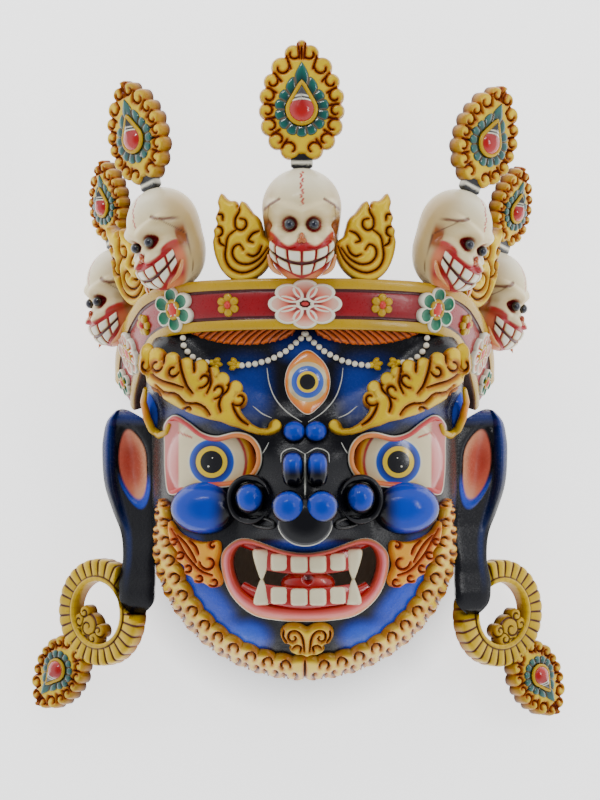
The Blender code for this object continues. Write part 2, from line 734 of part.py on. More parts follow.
def build_skulls(parent, material, band_clearance):
    shape, sockets_shape, teeth_shape = skull_mesh(), sockets_mesh(), teeth_mesh()
    skulls = {}
    for name, (share, inset, turn, lean, tip) in SKULL_STANDS.items():
        mesh = shape.copy()
        mesh.transform(Matrix.Scale(skull_height(name), 4))
        sink = SKULL_SINK + TILT_SINK * abs(math.sin(math.radians(tip)))
        place = upright_frame(seat_on_band(share, sink, inset), turn, lean, tip)
        skull = add_object(f"skull_{name}", mesh, parent, place)
        dress(skull, material)
        thin_to(skull, SKULL_MASS_TRIANGLES)
        scaled = place @ Matrix.Scale(skull_height(name), 4)
        sockets = hide_helper(add_object(f"sockets_{name}", sockets_shape, parent, scaled))
        teeth = hide_helper(add_object(f"teeth_{name}", teeth_shape, parent, scaled))
        combine(skull, teeth, "UNION")
        combine(skull, sockets, "DIFFERENCE")
        thin_again(skull, SKULL_SHARE_KEPT)
        combine(skull, band_clearance, "DIFFERENCE")
        skulls[name] = skull
    return skulls


# Finials: a jewel in a ring of petals, in a border of scrolls

# The border's lobes on one side: x, y and radius in finial heights from its jewel
FINIAL_LOBES = (
    (0.000, 0.480, 0.046),
    (0.070, 0.405, 0.074),
    (0.168, 0.290, 0.086),
    (0.246, 0.172, 0.070),
    (0.278, 0.050, 0.074),
    (0.286, -0.070, 0.070),
    (0.262, -0.196, 0.078),
    (0.200, -0.310, 0.078),
    (0.095, -0.385, 0.085),
)
FINIAL_BODY = ((0.0, 0.05, 0.27), (0.0, -0.16, 0.27), (0.0, 0.24, 0.16))
# How many points each outline is drawn with
LEAF_POINTS, PETALS, DROP_POINTS = 44, 14, 10
PETAL_RISE, BEZEL_RISE, STONE_RISE = 0.0030, 0.0030, 0.0050
DROP_MIDDLE = -0.04


def mirrored_discs(discs):
    return tuple(discs) + tuple((-x, y, r) for x, y, r in discs if x > 0.0)


def drop_reach(angles, half_width, top, bottom):
    """Outline of a drop with its point up: how far it reaches from its middle."""
    up = np.sin(angles)
    point = np.where(up > 0.0, np.abs(up) ** 5, 0.0)
    oval = half_width * bottom / np.sqrt((bottom * np.cos(angles)) ** 2 + (half_width * up) ** 2)
    return oval + (top - bottom) * point


def leaf_outline(angles):
    """Outline of the scrolled border, in finial heights from the jewel."""
    return reach_of_discs(angles, mirrored_discs(FINIAL_LOBES) + FINIAL_BODY)


def stepped_drop(points, height, rows):
    """Rings of a drop-shaped boss: rows of (size, z), on a flat board."""
    angles = math.pi / 2 + np.linspace(0.0, 2 * math.pi, points, endpoint=False)
    reach = height * drop_reach(angles, 0.125, 0.24, 0.17)
    middle = height * DROP_MIDDLE
    return [points_of(s * reach * np.cos(angles), middle + s * reach * np.sin(angles), z) for s, z in rows]


def leaf_mesh(height, thickness):
    """A flat leaf board with a scrolled edge; the middle of its jewel is the origin, facing +Z."""
    angles = math.pi / 2 + np.linspace(0.0, 2 * math.pi, LEAF_POINTS, endpoint=False)
    reach = height * leaf_outline(angles)
    face, back = thickness / 2, -thickness / 2
    rows = ((0.98, face), (1.0, back))
    rings = [points_of(s * reach * np.cos(angles), s * reach * np.sin(angles), z) for s, z in rows]
    return mesh_of("leaf", *skin(np.array(rings), first_pole=(0, 0, face), last_pole=(0, 0, back)))


def petal_ring_mesh(height, thickness):
    """The raised ring of petals round the jewel, sunk into the board."""
    angles = math.pi / 2 + np.linspace(0.0, 2 * math.pi, 2 * PETALS, endpoint=False)
    zigzag = np.where(np.arange(2 * PETALS) % 2, 1.60, 1.78)
    reach = height * zigzag * drop_reach(angles, 0.125, 0.24, 0.17)
    middle = height * DROP_MIDDLE
    rows = ((1.0, 0.0), (0.93, thickness / 2 + PETAL_RISE))
    rings = [points_of(s * reach * np.cos(angles), middle + s * reach * np.sin(angles), z) for s, z in rows]
    top = (0, middle, thickness / 2 + PETAL_RISE)
    return mesh_of("petals", *skin(np.array(rings), first_pole=(0, middle, 0), last_pole=top))


def jewel_mesh(height, thickness):
    """The bezel and its domed stone, sunk into the petals."""
    base = thickness / 2 + PETAL_RISE
    rows = ((1.22, -thickness / 4), (1.12, base + BEZEL_RISE), (0.7, base + BEZEL_RISE + STONE_RISE * 0.8))
    rings = np.array(stepped_drop(DROP_POINTS, height, rows))
    top = (0, height * (DROP_MIDDLE + 0.02), base + BEZEL_RISE + STONE_RISE)
    root = (0, height * DROP_MIDDLE, -thickness / 4)
    return mesh_of("jewel", *skin(rings, first_pole=root, last_pole=top))


def peg_mesh():
    """The tenon below a finial, long enough to reach into its leaf and into its skull."""
    work = bmesh.new()
    length = 2.6 * PEG_LENGTH
    size = Matrix.Diagonal((PEG_WIDTH, length, PEG_THICKNESS, 1))
    bmesh.ops.create_cube(work, size=1, matrix=Matrix.Translation((0, length / 2 - BITE, 0)) @ size)
    mesh = bpy.data.meshes.new("peg")
    work.to_mesh(mesh)
    work.free()
    return mesh


def leaf_lift(height):
    """How high the jewel stands over the foot of the peg."""
    return height * -min(y - r for x, y, r in FINIAL_LOBES) + PEG_LENGTH * 0.7


def build_finials(parent, material, skulls):
    peg = peg_mesh()
    for name, (turn, lean, tip) in FINIAL_STANDS.items():
        skull, height = skulls[name], finial_height(name)
        top = skull.matrix_basis @ Vector((0, skull_height(name), -0.03 * skull_height(name)))
        foot = upright_frame(top, turn, lean, tip)
        place = foot @ Matrix.Translation((0, leaf_lift(height), 0))
        finial = add_object(f"finial_{name}", leaf_mesh(height, FINIAL_THICKNESS), parent, place)
        dress(finial, material)
        add_jewel(finial, height, FINIAL_THICKNESS, place)
        combine(finial, hide_helper(add_object(f"peg_{name}", peg, parent, foot)), "UNION")
        thin_to(finial, FINIAL_TRIANGLES)
        combine(finial, clearance_of(skull, FIT), "DIFFERENCE")


def add_jewel(leaf, height, thickness, place):
    """Joins the petals, bezel and stone to a leaf."""
    for label, mesh in (
        ("petals", petal_ring_mesh(height, thickness)),
        ("jewel", jewel_mesh(height, thickness)),
    ):
        helper = hide_helper(add_object(f"{label}_of_{leaf.name}", mesh, leaf.parent, place))
        combine(leaf, helper, "UNION")


# Scroll wings: a curling cloud in a crescent bowl, beside the skulls

# Outline of a left wing as discs: x, y and radius in wing heights from its middle
WING_DISCS = (
    (-0.26, 0.49, 0.035), (-0.245, 0.44, 0.06), (-0.20, 0.36, 0.09), (-0.12, 0.26, 0.13),
    (0.00, 0.41, 0.045), (-0.02, 0.35, 0.07), (0.00, 0.25, 0.13),
    (0.225, 0.26, 0.05), (0.19, 0.20, 0.09), (0.13, 0.10, 0.14),
    (-0.27, 0.235, 0.06), (-0.22, 0.20, 0.10), (-0.29, 0.10, 0.06), (-0.22, 0.04, 0.12),
    (0.00, 0.05, 0.24), (0.0, -0.12, 0.28), (-0.10, -0.18, 0.22), (0.10, -0.16, 0.22),
    (-0.24, -0.05, 0.12), (0.24, -0.06, 0.11), (0.30, -0.14, 0.07), (0.02, -0.25, 0.22),
)
WING_POINTS = 36
WING_MIDDLE = 0.46
# name: share of the half band, degrees turned, leaning back, tipped outwards; -1 mirrors the shape
WING_STANDS = {
    "left": (-0.190, -8.0, 0.0, 0.0, 1),
    "right": (0.186, 8.0, 0.0, 0.0, -1),
    "far_left": (-0.590, -52.0, 4.0, -16.0, 1),
    "far_right": (0.605, 52.0, 6.0, 16.0, -1),
}


def wing_mesh(mirror):
    """A flat scroll one wing height tall, standing on the origin and facing +Z."""
    fine = np.linspace(-math.pi, math.pi, 720, endpoint=False)
    x, y = reach_of_discs(fine, WING_DISCS) * np.array([np.cos(fine), np.sin(fine)])
    length = np.concatenate([[0.0], np.cumsum(np.hypot(np.diff(x), np.diff(y)))])
    angles = np.interp(np.linspace(0.0, length[-1], WING_POINTS, endpoint=False), length, fine)
    reach = reach_of_discs(angles, WING_DISCS)
    rows = ((0.58, 0.75), (0.66, 0.45), (0.98, 0.5), (1.0, -0.5))
    rings = [
        points_of(
            mirror * WING_HEIGHT * s * reach * np.cos(angles),
            WING_HEIGHT * (s * reach * np.sin(angles) + WING_MIDDLE),
            WING_THICKNESS * z,
        )
        for s, z in rows
    ]
    middle = WING_MIDDLE * WING_HEIGHT
    poles = (0, middle, WING_THICKNESS * 0.8), (0, middle, -WING_THICKNESS * 0.5)
    return mesh_of("wing", *skin(np.array(rings), first_pole=poles[0], last_pole=poles[1]))


def build_wings(parent, material, band_clearance, skulls):
    clearances = {name: clearance_of(skulls[name], FIT) for name in ("centre", "left", "right")}
    for name, (share, turn, lean, tip, mirror) in WING_STANDS.items():
        place = upright_frame(seat_on_band(share, BITE, WING_INSET), turn, lean, tip)
        wing = add_object(f"wing_{name}", wing_mesh(mirror), parent, place)
        dress(wing, material)
        thin_to(wing, WING_TRIANGLES)
        combine(wing, band_clearance, "DIFFERENCE")
        neighbour = name[4:] if name.startswith("far") else "centre"
        combine(wing, clearances[neighbour], "DIFFERENCE")


# Ears, with long pierced-looking lobes

# Down the ear, in ear heights from its top: reach of the outer and inner edges in half face widths
EAR_OUTER = ((0.0, 0.05, 0.14, 0.25, 0.37, 0.50, 0.60, 0.72, 0.86, 0.95, 1.0),
             (1.19, 1.25, 1.285, 1.29, 1.275, 1.22, 1.17, 1.155, 1.18, 1.155, 1.09))
EAR_INNER = ((0.0, 0.05, 0.14, 0.30, 0.60, 0.72, 0.86, 0.95, 1.0),
             (1.14, 1.02, 0.935, 0.93, 0.93, 0.95, 0.95, 0.97, 1.04))
EAR_ROWS, EAR_COLUMNS = 64, 22
CONCHA_ACROSS, CONCHA_DOWN = 0.52, 0.26


def ear_mesh(side):
    """Cross sections down the ear, each a closed loop: its face outwards, then its back."""
    down = np.linspace(0.0, 1.0, EAR_ROWS + 2)[1:-1, None]
    across = np.linspace(0.0, 1.0, EAR_COLUMNS)[None, :]
    outer, inner = curve_through(*EAR_OUTER, down), curve_through(*EAR_INNER, down)
    x = HALF_FACE * (inner + (outer - inner) * across)
    y = EAR_TOP - EAR_HEIGHT * down * np.ones_like(across)
    plane = EAR_FRONT - EAR_SWEEP * (x - HALF_FACE)
    lean = 0.35 * (down - CONCHA_DOWN)
    hollow = bump(np.hypot((across - CONCHA_ACROSS + lean) / 0.36, (down - CONCHA_DOWN) / 0.24))
    helix = bump((across - 0.90) / 0.16) * smooth_step(-down, -0.62, -0.45) + bump((down - 0.03) / 0.06)
    lobe = smooth_step(down, 0.55, 0.75)
    ends = np.sqrt(np.clip(1.0 - (2.0 * down - 1.0) ** 12, 0.0, 1.0))
    rounding = 1.0 - 0.45 * (2.0 * across - 1.0) ** 6
    front = plane - EAR_THICKNESS * (0.50 * hollow - 0.20 * helix - 0.20 * lobe)
    back = plane - EAR_THICKNESS * rounding
    middle = (front + back) / 2
    half = (front - back) / 2 * ends * (0.55 + 0.45 * rounding)
    loops = np.concatenate(
        [points_of(side * x, y, middle + half), points_of(side * x, y, middle - half)[:, ::-1]], axis=1
    )
    tips = []
    for share in (0.0, 1.0):
        reach = (curve_through(*EAR_OUTER, share) + curve_through(*EAR_INNER, share)) / 2 * HALF_FACE
        depth = EAR_FRONT - EAR_SWEEP * (reach - HALF_FACE) - EAR_THICKNESS / 2
        tips.append((side * reach, EAR_TOP - EAR_HEIGHT * share, depth))
    return mesh_of("ear", *skin(loops, first_pole=tips[0], last_pole=tips[1]))


def build_ears(parent, material, cutters):
    ears = {}
    for name, side in (("left", -1), ("right", 1)):
        ear = add_object(f"ear_{name}", ear_mesh(side), parent)
        dress(ear, material)
        thin_to(ear, EAR_TRIANGLES)
        for cutter in cutters:
            combine(ear, cutter, "DIFFERENCE")
        ears[name] = ear
    return ears


# Earrings: a fluted ring with a scroll inside it and a jewelled leaf below

RING_FLUTES = 22
RING_FLUTE_DEPTH = 0.0022
SCROLL_RADIUS = 0.47
SCROLL_PLACE = 0.40
# name: the ring's middle beyond the face, above the ear's foot and behind its front,
# degrees turned outwards, degrees that the leaf swings below level, side
EARRING_STANDS = {
    "left": ((0.0490, 0.0020, 0.028), -39.0, 49.0, -1),
    "right": ((0.0390, 0.0010, 0.030), 37.0, 54.0, 1),
}


def ring_mesh():
    """A flat ring round the origin in the XY plane, with a fluted outer edge."""
    angles = np.linspace(0.0, 2 * math.pi, 2 * RING_FLUTES, endpoint=False)[:, None]
    flute = RING_FLUTE_DEPTH * (np.arange(2 * RING_FLUTES) % 2)[:, None]
    outer, inner = RING_RADIUS + RING_HALF_WIDTH - flute, RING_RADIUS - RING_HALF_WIDTH
    face = RING_THICKNESS / 2
    reach = np.concatenate([outer, outer, inner + 0 * outer, inner + 0 * outer], axis=1)
    depth = np.array([face, -face, -face, face])
    return mesh_of(
        "ring",
        *skin(points_of(reach * np.cos(angles), reach * np.sin(angles), depth), wrap_ends=True),
    )


def scroll_mesh():
    """The small curled cloud inside a ring."""
    angles = np.linspace(0.0, 2 * math.pi, 12, endpoint=False)
    radius = RING_RADIUS * SCROLL_RADIUS
    rows = ((0.55, 0.30), (0.95, 0.42), (1.0, -0.4))
    rings = [
        points_of(s * radius * np.cos(angles), s * radius * np.sin(angles), RING_THICKNESS * z)
        for s, z in rows
    ]
    poles = (0, 0, RING_THICKNESS * 0.45), (0, 0, -RING_THICKNESS * 0.4)
    return mesh_of("scroll", *skin(np.array(rings), first_pole=poles[0], last_pole=poles[1]))


def build_earrings(parent, material, ears):
    ring, scroll = ring_mesh(), scroll_mesh()
    leaf = leaf_mesh(TAIL_LENGTH, TAIL_THICKNESS)
    for name, ((beyond, above, behind), turn, swing, side) in EARRING_STANDS.items():
        middle = (side * (HALF_FACE + beyond), EAR_TOP - EAR_HEIGHT + above, EAR_FRONT - behind)
        place = Matrix.Translation(middle) @ Matrix.Rotation(math.radians(turn), 4, "Y")
        earring = add_object(f"earring_{name}", ring.copy(), parent, place)
        dress(earring, material)
        down = -swing if side > 0 else 180.0 + swing
        hang = place @ Matrix.Rotation(math.radians(down - 90.0), 4, "Z")
        reach = RING_RADIUS + RING_HALF_WIDTH * 0.4 + TAIL_LENGTH * (0.095 + 0.385)
        leaf_place = hang @ Matrix.Translation((0, reach - TAIL_LENGTH * 0.06, 0))
        scroll_place = hang @ Matrix.Translation((0, RING_RADIUS * SCROLL_PLACE, 0))
        for label, mesh, spot in (("leaf", leaf, leaf_place), ("scroll", scroll, scroll_place)):
            helper = hide_helper(add_object(f"{label}_{name}", mesh, parent, spot))
            combine(earring, helper, "UNION")
        add_jewel(earring, TAIL_LENGTH, TAIL_THICKNESS, leaf_place)
        thin_to(earring, EARRING_TRIANGLES)
        combine(earring, clearance_of(ears[name], FIT), "DIFFERENCE")


def centre_on_floor(root):
    """Moves everything so that the origin is under the middle of its box, on the floor."""
    bpy.context.view_layer.update()
    graph = bpy.context.evaluated_depsgraph_get()
    corners = []
    for thing in bpy.context.scene.objects:
        if thing.type != "MESH" or thing.hide_render:
            continue
        ready = thing.evaluated_get(graph)
        places = np.empty(len(ready.data.vertices) * 3)
        ready.data.vertices.foreach_get("co", places)
        world = np.array(thing.matrix_world)
        places = places.reshape(-1, 3) @ world[:3, :3].T + world[:3, 3]
        corners.extend([places.min(axis=0), places.max(axis=0)])
    low, high = np.min(corners, axis=0), np.max(corners, axis=0)
    root.location = (-(low[0] + high[0]) / 2, -(low[1] + high[1]) / 2, -low[2])


def main():
    for thing in list(bpy.data.objects):
        bpy.data.objects.remove(thing)
    root = add_object("mask", None)
    black = add_material("black_lacquer", (0.02, 0.03, 0.05), 0.3)
    red = add_material("red_lacquer", (0.45, 0.02, 0.04), 0.35)
    bone = add_material("bone_paint", (0.72, 0.68, 0.55), 0.4)
    gold = add_material("gold_paint", (0.80, 0.52, 0.08), 0.35, 0.2)

    head = build_head(root, black)
    head_clearance = clearance_of(head, FIT)
    band_clearance = clearance_of(build_band(root, red, head_clearance), FIT)
    skulls = build_skulls(root, bone, band_clearance)
    build_finials(root, gold, skulls)
    build_wings(root, gold, band_clearance, skulls)
    ears = build_ears(root, black, (head_clearance, band_clearance))
    build_earrings(root, gold, ears)
    centre_on_floor(root)


main()
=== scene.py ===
"""Looks of a carved and painted dance mask that lies on its back, seen from straight above.

The mask's own place has its origin in the middle of the face, at the back rim: +X runs across the
face, +Y from chin to crown and +Z out of the face. Every piece is worked out there, in metres, and
ORIGIN carries it into the part's frame. Sizes that follow the carving are written in MM.
"""

from __future__ import annotations

import logging
import math
from dataclasses import dataclass
from enum import Enum
from typing import Callable, Optional, Sequence

import bpy
import numpy as np
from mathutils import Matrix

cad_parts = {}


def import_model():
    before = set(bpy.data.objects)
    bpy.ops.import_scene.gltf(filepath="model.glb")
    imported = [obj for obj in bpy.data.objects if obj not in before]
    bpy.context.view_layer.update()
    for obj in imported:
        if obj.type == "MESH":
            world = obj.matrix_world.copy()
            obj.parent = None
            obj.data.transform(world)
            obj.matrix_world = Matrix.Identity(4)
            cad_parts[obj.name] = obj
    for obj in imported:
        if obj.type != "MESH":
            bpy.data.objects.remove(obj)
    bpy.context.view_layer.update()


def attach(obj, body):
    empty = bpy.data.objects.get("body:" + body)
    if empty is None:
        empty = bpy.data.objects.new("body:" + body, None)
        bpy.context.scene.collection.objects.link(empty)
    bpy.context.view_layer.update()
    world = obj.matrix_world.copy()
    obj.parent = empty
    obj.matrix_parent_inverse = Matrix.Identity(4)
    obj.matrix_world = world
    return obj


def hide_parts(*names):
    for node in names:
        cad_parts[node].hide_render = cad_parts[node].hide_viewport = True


Array = np.ndarray
Row = Sequence[float]
Table = Sequence[Row]
Field = Callable[[Array, Array], Array]
Relief = Callable[[Array, Array, Array], tuple[Array, Array]]
Tree = bpy.types.NodeTree
Socket = bpy.types.NodeSocket
LOG = logging.getLogger("mask")

MM = 0.001
ORIGIN = np.array([0.00697, -0.09154, 0.0])


class Slot(Enum):
    """The record's material slots."""

    FACE = "face_lacquer"
    EAR = "ear_lacquer"
    CROWN = "crown_lacquer"
    BONE = "bone_paint"
    GOLD = "gold_paint"
    RING = "earring_gold"


# Colours of the paints, linear

BLACK = (0.003, 0.003, 0.006)
NAVY = (0.004, 0.02, 0.12)
ROYAL = (0.004, 0.045, 0.5)
SKY = (0.045, 0.17, 0.78)
IRIS = (0.004, 0.11, 0.52)
GOLD = (0.52, 0.31, 0.0)
# A paler gold, used only for painted highlights.
HIGHLIGHT_GOLD = (0.74, 0.5, 0.0)
OCHRE = (0.32, 0.1, 0.0)
UMBER = (0.07, 0.006, 0.002)
CRIMSON = (0.28, 0.0, 0.006)
MAROON = (0.08, 0.001, 0.004)
SCARLET = (0.48, 0.002, 0.001)
ORANGE = (0.82, 0.18, 0.002)
HAIR_ORANGE = (0.7, 0.11, 0.006)
CREAM = (0.78, 0.66, 0.4)
WHITE = (0.86, 0.82, 0.66)
PINK = (0.8, 0.19, 0.13)
ROSE = (0.56, 0.03, 0.03)
TEAL = (0.002, 0.07, 0.04)
JADE = (0.004, 0.2, 0.095)
BARE_WOOD = (0.18, 0.12, 0.075)


# Small shaping functions

def ramp(value: Array, start: float, end: float) -> Array:
    """0 before start, 1 after end, and between them s*s*(3 - 2s)."""
    share = np.clip((value - start) / (end - start), 0.0, 1.0)
    return share * share * (3.0 - 2.0 * share)


def rounded_max(first: Array, second: Array, blend: float) -> Array:
    """The greater of two surfaces, with the crease between them rounded over blend."""
    share = within(0.5 + 0.5 * (first - second) / blend)
    return second + (first - second) * share + blend * share * (1.0 - share)


def bump(distance: Array) -> Array:
    """A soft hill (1 - d*d)^2: 1 in its middle, 0 from distance 1 outwards."""
    return within(1.0 - distance * distance) ** 2


def curve_through(places: Row, values: Sequence, at: Array) -> Array:
    """A Hermite cubic through (place, value) pairs, with averaged slopes."""
    places, values = np.asarray(places, float), np.asarray(values, float)
    slopes = np.gradient(values, places, axis=0)
    at = np.clip(at, places[0], places[-1])
    left = np.clip(np.searchsorted(places, at) - 1, 0, len(places) - 2)
    width = places[left + 1] - places[left]
    share = (at - places[left]) / width
    if values.ndim > 1:
        share, width = share[..., None], width[..., None]
    cube, square = share**3, share**2
    return (
        (2 * cube - 3 * square + 1) * values[left]
        + (cube - 2 * square + share) * width * slopes[left]
        + (3 * square - 2 * cube) * values[left + 1]
        + (cube - square) * width * slopes[left + 1]
    )


def closed_curve(corners: Table, count: int) -> Array:
    """A smooth loop through corners, evenly spaced along its length: a cyclic Catmull-Rom spline.

    Args:
        corners: the points that the loop passes through.
        count: how many points come back.

    Returns:
        The points, as (count, dimensions).
    """
    ring = np.asarray(corners, float)
    share = np.linspace(0.0, 1.0, 24, endpoint=False)[None, :, None]
    a, b, c, d = (np.roll(ring, shift, axis=0)[:, None] for shift in (1, 0, -1, -2))
    fine = 0.5 * (
        2 * b
        + (c - a) * share
        + (2 * a - 5 * b + 4 * c - d) * share**2
        + (3 * b - a - 3 * c + d) * share**3
    )
    return resampled(fine.reshape(-1, ring.shape[1]), count, True)


def resampled(line: Array, count: int, closed: bool = False) -> Array:
    """Points evenly spaced along a line: its length is summed and read back at equal steps."""
    if closed:
        line = np.concatenate([line, line[:1]])
    length = np.concatenate([[0.0], np.cumsum(np.linalg.norm(np.diff(line, axis=0), axis=1))])
    at = np.linspace(0.0, length[-1], count, endpoint=not closed)
    return np.stack([np.interp(at, length, line[:, k]) for k in range(line.shape[1])], axis=1)


def reach_of_loop(loop: Array, middle: Row, angles: Array) -> Array:
    """How far a star-shaped loop reaches from middle at each angle, read off its own angles."""
    offset = loop - np.asarray(middle)
    turn = np.unwrap(np.arctan2(offset[:, 1], offset[:, 0]))
    reach = np.hypot(offset[:, 0], offset[:, 1])
    if turn[-1] < turn[0]:
        turn, reach = turn[::-1], reach[::-1]
    order = np.argsort(np.mod(turn, 2 * math.pi))
    return np.interp(angles, np.mod(turn, 2 * math.pi)[order], reach[order], period=2 * math.pi)


def full_turn(count: int) -> Array:
    """Angles of a whole turn, the end left out."""
    return np.linspace(0.0, 2 * math.pi, count, endpoint=False)


def polar(reach: Array, angles: Array, x: float = 0.0, y: float = 0.0) -> tuple[Array, Array]:
    """Coordinates at a reach and an angle from (x, y)."""
    return x + reach * np.cos(angles), y + reach * np.sin(angles)


def within(value: Array) -> Array:
    """Values held between 0 and 1."""
    return np.clip(value, 0.0, 1.0)


def coats(paint: Row, *layers: tuple[Row, Array]) -> Array:
    """Paint with further colours laid over it in turn, each by its own share."""
    for colour, share in layers:
        paint = blend(paint, colour, share)
    return paint


def points_of(*columns: Array) -> Array:
    """Coordinates stacked into points."""
    return np.stack(np.broadcast_arrays(*columns), axis=-1)


def blend(first: Row, second: Row, share: Array) -> Array:
    """A colour between two: first*(1 - s) + second*s. Either may be an array of colours."""
    share = np.asarray(share, float)[..., None]
    return np.asarray(first) * (1.0 - share) + np.asarray(second) * share


def turned(place: Row, turn: float, lean: float, tip: float) -> Array:
    """A 4x4 place: T * Rz(-tip) * Ry(turn) * Rx(-lean), with the angles in degrees."""
    a, b, c = (math.radians(v) for v in (-tip, turn, -lean))
    rz = np.array([[math.cos(a), -math.sin(a), 0], [math.sin(a), math.cos(a), 0], [0, 0, 1]])
    ry = np.array([[math.cos(b), 0, math.sin(b)], [0, 1, 0], [-math.sin(b), 0, math.cos(b)]])
    rx = np.array([[1, 0, 0], [0, math.cos(c), -math.sin(c)], [0, math.sin(c), math.cos(c)]])
    matrix = np.eye(4)
    matrix[:3, :3] = rz @ ry @ rx
    matrix[:3, 3] = place
    return matrix


def moved(matrix: Array, points: Array) -> Array:
    """Points carried by a 4x4 place."""
    return points @ matrix[:3, :3].T + matrix[:3, 3]


# Surfaces

@dataclass
class Surface:
    """A mesh in numbers: points, four-sided and three-sided faces, and each point's paint."""

    points: Array
    quads: Array
    tris: Array
    paint: Array

    def moved(self, matrix: Array) -> "Surface":
        """The same surface, carried by a 4x4 place."""
        return Surface(moved(matrix, self.points), self.quads, self.tris, self.paint)

    def mirrored(self) -> "Surface":
        """The same surface on the other side of the face, x -> -x."""
        return Surface(self.points * [-1, 1, 1], self.quads[:, ::-1], self.tris[:, ::-1], self.paint)

    def outwards(self) -> "Surface":
        """The surface with its faces turned out: the sum of p0.(p1 x p2)/6 is its volume."""
        halves = np.concatenate([self.quads[:, [0, 1, 2]], self.quads[:, [0, 2, 3]], self.tris])
        middle = self.points.mean(axis=0)
        a, b, c = (self.points[halves[:, k]] - middle for k in range(3))
        if np.einsum("ij,ij->", a, np.cross(b, c)) >= 0.0:
            return self
        return Surface(self.points, self.quads[:, ::-1], self.tris[:, ::-1], self.paint)


NO_TRIS = np.zeros((0, 3), int)


def joined(parts: Sequence[Surface]) -> Surface:
    """Several surfaces as one, each turned out first."""
    parts = [part.outwards() for part in parts]
    starts = np.cumsum([0] + [len(part.points) for part in parts])
    return Surface(
        np.concatenate([part.points for part in parts]),
        np.concatenate([part.quads + start for part, start in zip(parts, starts)]),
        np.concatenate([part.tris + start for part, start in zip(parts, starts)]),
        np.concatenate([part.paint for part in parts]),
    )


def paint_of(colour: Row, points: Array) -> Array:
    """One colour for every point."""
    return np.broadcast_to(np.asarray(colour, float), points.shape).copy()


def ringed(
    rings: Array,
    paint: Array,
    first: Optional[Row] = None,
    last: Optional[Row] = None,
    wrap: bool = False,
) -> Surface:
    """Skins closed rings of points; the ends close on a pole, or meet where wrap is set.

    Args:
        rings: points as (rings, around, 3).
        paint: colours that broadcast to the rings.
        first: the pole before the first ring, or None for the ring's own middle.
        last: the pole after the last ring, or None for the ring's own middle.
        wrap: True where the last ring meets the first.
    """
    count, around = rings.shape[:2]
    paint = np.broadcast_to(paint, rings.shape)
    index = np.arange(count * around).reshape(count, around)
    beside = np.roll(index, -1, axis=1)
    if wrap:
        above, above_beside = np.roll(index, -1, axis=0), np.roll(beside, -1, axis=0)
        quads = np.stack([index, beside, above_beside, above], axis=-1).reshape(-1, 4)
        return Surface(rings.reshape(-1, 3), quads, NO_TRIS, paint.reshape(-1, 3).copy())
    quads = np.stack([index[:-1], beside[:-1], beside[1:], index[1:]], axis=-1).reshape(-1, 4)
    poles = [
        rings[row].mean(axis=0) if pole is None else np.asarray(pole, float)
        for pole, row in ((first, 0), (last, -1))
    ]
    tip = count * around
    tris = np.concatenate(
        [
            np.stack([beside[0], index[0], np.full(around, tip)], axis=1),
            np.stack([index[-1], beside[-1], np.full(around, tip + 1)], axis=1),
        ]
    )
    points = np.concatenate([rings.reshape(-1, 3), poles])
    colours = np.concatenate([paint.reshape(-1, 3), [paint[0].mean(axis=0), paint[-1].mean(axis=0)]])
    return Surface(points, quads, tris, colours)


def tube(line: Array, radius: Array, paint: Row, around: int = 10, closed: bool = False) -> Surface:
    """A round rod along a line: rings in the plane of a side vector and its cross with the line.

    Args:
        line: points along the middle.
        radius: one radius, or one for each point.
        paint: one colour, or colours that broadcast to (points, around, 3).
        around: points in each ring.
        closed: True where the line is a loop.
    """
    if closed:
        along = np.roll(line, -1, axis=0) - np.roll(line, 1, axis=0)
    else:
        along = np.gradient(line, axis=0)
    along = along / np.linalg.norm(along, axis=1, keepdims=True)
    side = np.cross(along, [0.0, 0.0, 1.0])
    flat = np.linalg.norm(side, axis=1, keepdims=True) < 1e-6
    side = np.where(flat, np.array([1.0, 0.0, 0.0]), side)
    side = side / np.linalg.norm(side, axis=1, keepdims=True)
    up = np.cross(side, along)
    turn = full_turn(around)
    radius = np.broadcast_to(np.asarray(radius, float), (len(line),))[:, None, None]
    rings = line[:, None] + radius * (
        side[:, None] * np.cos(turn)[None, :, None] + up[:, None] * np.sin(turn)[None, :, None]
    )
    return ringed(rings, paint, wrap=closed)


def ball(middle: Row, radii: Row, rows: int, around: int) -> Surface:
    """An ellipsoid m + r*(cos a cos b, cos a sin b, sin a), its poles on +Z and -Z."""
    rise = np.linspace(-math.pi / 2, math.pi / 2, rows + 2)[1:-1, None]
    turn = full_turn(around)[None, :]
    unit = points_of(np.cos(rise) * np.cos(turn), np.cos(rise) * np.sin(turn), np.sin(rise))
    middle, radii = np.asarray(middle, float), np.asarray(radii, float)
    surface = ringed(
        middle + radii * unit,
        np.zeros(3),
        middle - radii * [0, 0, 1],
        middle + radii * [0, 0, 1],
    )
    return surface


def shaded_ball(
    middle: Row, radii: Row, top: Row, edge: Row,
    start: float = 0.25, end: float = 0.75, rows: int = 36, around: int = 56,
) -> Surface:
    """A ball whose paint runs from edge to top as its unit height, tipped a little towards +Y, passes start
    to end: painted shade at the edges and painted light on top.
    """
    surface = ball(middle, radii, rows, around)
    unit = (surface.points - np.asarray(middle)) / np.asarray(radii)
    # Painted light and shade: the colour follows how far the surface faces up and towards +Y.
    share = ramp(unit[:, 2] + 0.12 * unit[:, 1], start, end)
    surface.paint = blend(edge, top, share)
    return surface


def block(place: Array, half: Row, power: float, around: int = 16, rows: int = 9) -> Surface:
    """A rounded block: a unit ball's points divided by their own power norm, scaled and placed."""
    surface = ball((0, 0, 0), (1, 1, 1), rows, around)
    norm = (np.abs(surface.points) ** power).sum(axis=1) ** (1.0 / power)
    surface.points = moved(place, surface.points / norm[:, None] * np.asarray(half))
    return surface


# Carved plates and their scrolls

@dataclass(frozen=True)
class Curl:
    """One curled lobe of a scroll: its middle, radius, where it starts and which way it winds."""

    x: float
    y: float
    radius: float
    start: float = 0.0
    hand: int = 1
    turns: float = 1.35


